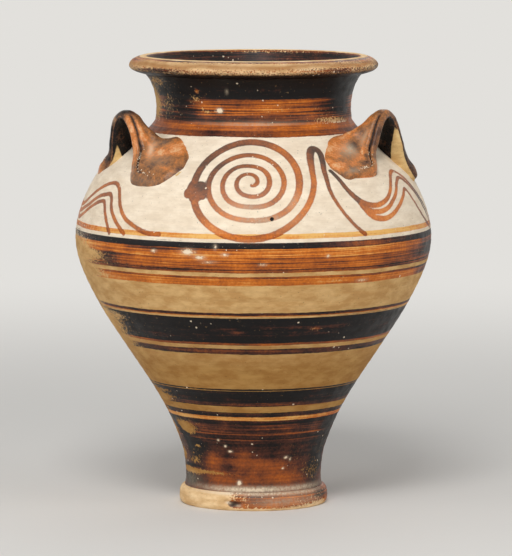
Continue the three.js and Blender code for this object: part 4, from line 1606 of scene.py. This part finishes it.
def studio_floor(stage):
    """Matt pale board: lit and shaded near the jar, and evenly pale farther off."""
    material = bpy.data.materials.new("pale studio board")
    material.use_nodes = True
    tree = material.node_tree
    tree.nodes.clear()
    here = add(tree, "TexCoord", out="Object")
    away = add(tree, "VectorMath", [here], out="Value", operation="LENGTH")
    far = add(
        tree, "MapRange", [away, SHADOWED, EVENLY_PALE], interpolation_type="SMOOTHSTEP"
    )
    share = add(tree, "Math", [far, seen_directly(tree)], operation="MULTIPLY")
    board = add(
        tree, "BsdfPrincipled",
        {"Base Color": (*stage.floor, 1), "Roughness": 0.9, "Specular IOR Level": 0.1},
    )
    glow = add(tree, "Emission", {"Color": (*stage.floor, 1), "Strength": 1.0})
    mixed = add(tree, "MixShader", [share, board, glow])
    add(tree, "OutputMaterial", {"Surface": mixed})
    return material


class JAR_OT_stage(bpy.types.Operator):
    """Plain pale floor, soft studio lamps and the camera"""

    bl_idname = "jar.add_stage"
    bl_label = "Stage"

    def execute(self, context):
        stage = context.scene.jar_stage
        deselect()
        bpy.ops.mesh.primitive_plane_add(size=FLOOR_SIZE)
        floor = bpy.context.object
        floor.name = "floor"
        floor.data.materials.append(studio_floor(stage))
        world = bpy.data.worlds.new("studio")
        context.scene.world = world
        world.use_nodes = True
        tree = world.node_tree
        tree.nodes.clear()
        plain = add(tree, "Background", {"Color": (1, 1, 1, 1), "Strength": stage.world})
        seen = add(tree, "Background", {"Color": (*stage.floor, 1), "Strength": 1.0})
        mixed = add(tree, "MixShader", [seen_directly(tree), plain, seen])
        add(tree, "OutputWorld", {"Surface": mixed})
        for name, at, aim, size, power in LAMPS:
            lamp(name, at, aim, size, getattr(stage, power))
        deselect()
        bpy.ops.object.camera_add(
            location=(stage.aside, -stage.distance, stage.rise),
            rotation=(math.pi / 2 - stage.tilt, 0, 0),
        )
        camera = bpy.context.object
        camera.data.sensor_width = SENSOR_WIDTH
        camera.data.lens = stage.lens
        camera.data.clip_end = VIEW_END
        context.scene.camera = camera
        context.scene.view_settings.view_transform = "Standard"
        return {"FINISHED"}


class JAR_PT_panel(bpy.types.Panel):
    """The jar's sizes, colours and pieces"""

    bl_idname = "JAR_PT_panel"
    bl_label = "Painted storage jar"
    bl_space_type = "VIEW_3D"
    bl_region_type = "UI"
    bl_category = "Jar"

    def draw(self, context):
        for group in (context.scene.jar_sizes, context.scene.jar_colours, context.scene.jar_stage):
            box = self.layout.box()
            for key in group.__annotations__:
                box.prop(group, key)
        for operator in OPERATORS:
            self.layout.operator(operator.bl_idname)


OPERATORS = (
    JAR_OT_stage, JAR_OT_foot, JAR_OT_rings, JAR_OT_handles, JAR_OT_shoulder, JAR_OT_lip,
)
CLASSES = (JarSizes, JarColours, JarStage, *OPERATORS, JAR_PT_panel)


def register():
    """Registers the classes and hangs the property groups on the scene."""
    for made in CLASSES:
        bpy.utils.register_class(made)
    bpy.types.Scene.jar_sizes = PointerProperty(type=JarSizes)
    bpy.types.Scene.jar_colours = PointerProperty(type=JarColours)
    bpy.types.Scene.jar_stage = PointerProperty(type=JarStage)


def unregister():
    """Takes the property groups and the classes away again."""
    del bpy.types.Scene.jar_stage
    del bpy.types.Scene.jar_colours
    del bpy.types.Scene.jar_sizes
    for made in reversed(CLASSES):
        bpy.utils.unregister_class(made)


def main():
    """Registers the add-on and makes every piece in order."""
    register()
    bpy.ops.jar.add_stage()
    bpy.ops.jar.add_foot()
    bpy.ops.jar.add_rings()
    bpy.ops.jar.add_handles()
    bpy.ops.jar.add_shoulder()
    bpy.ops.jar.add_lip()


if __name__ == "__main__":
    main()
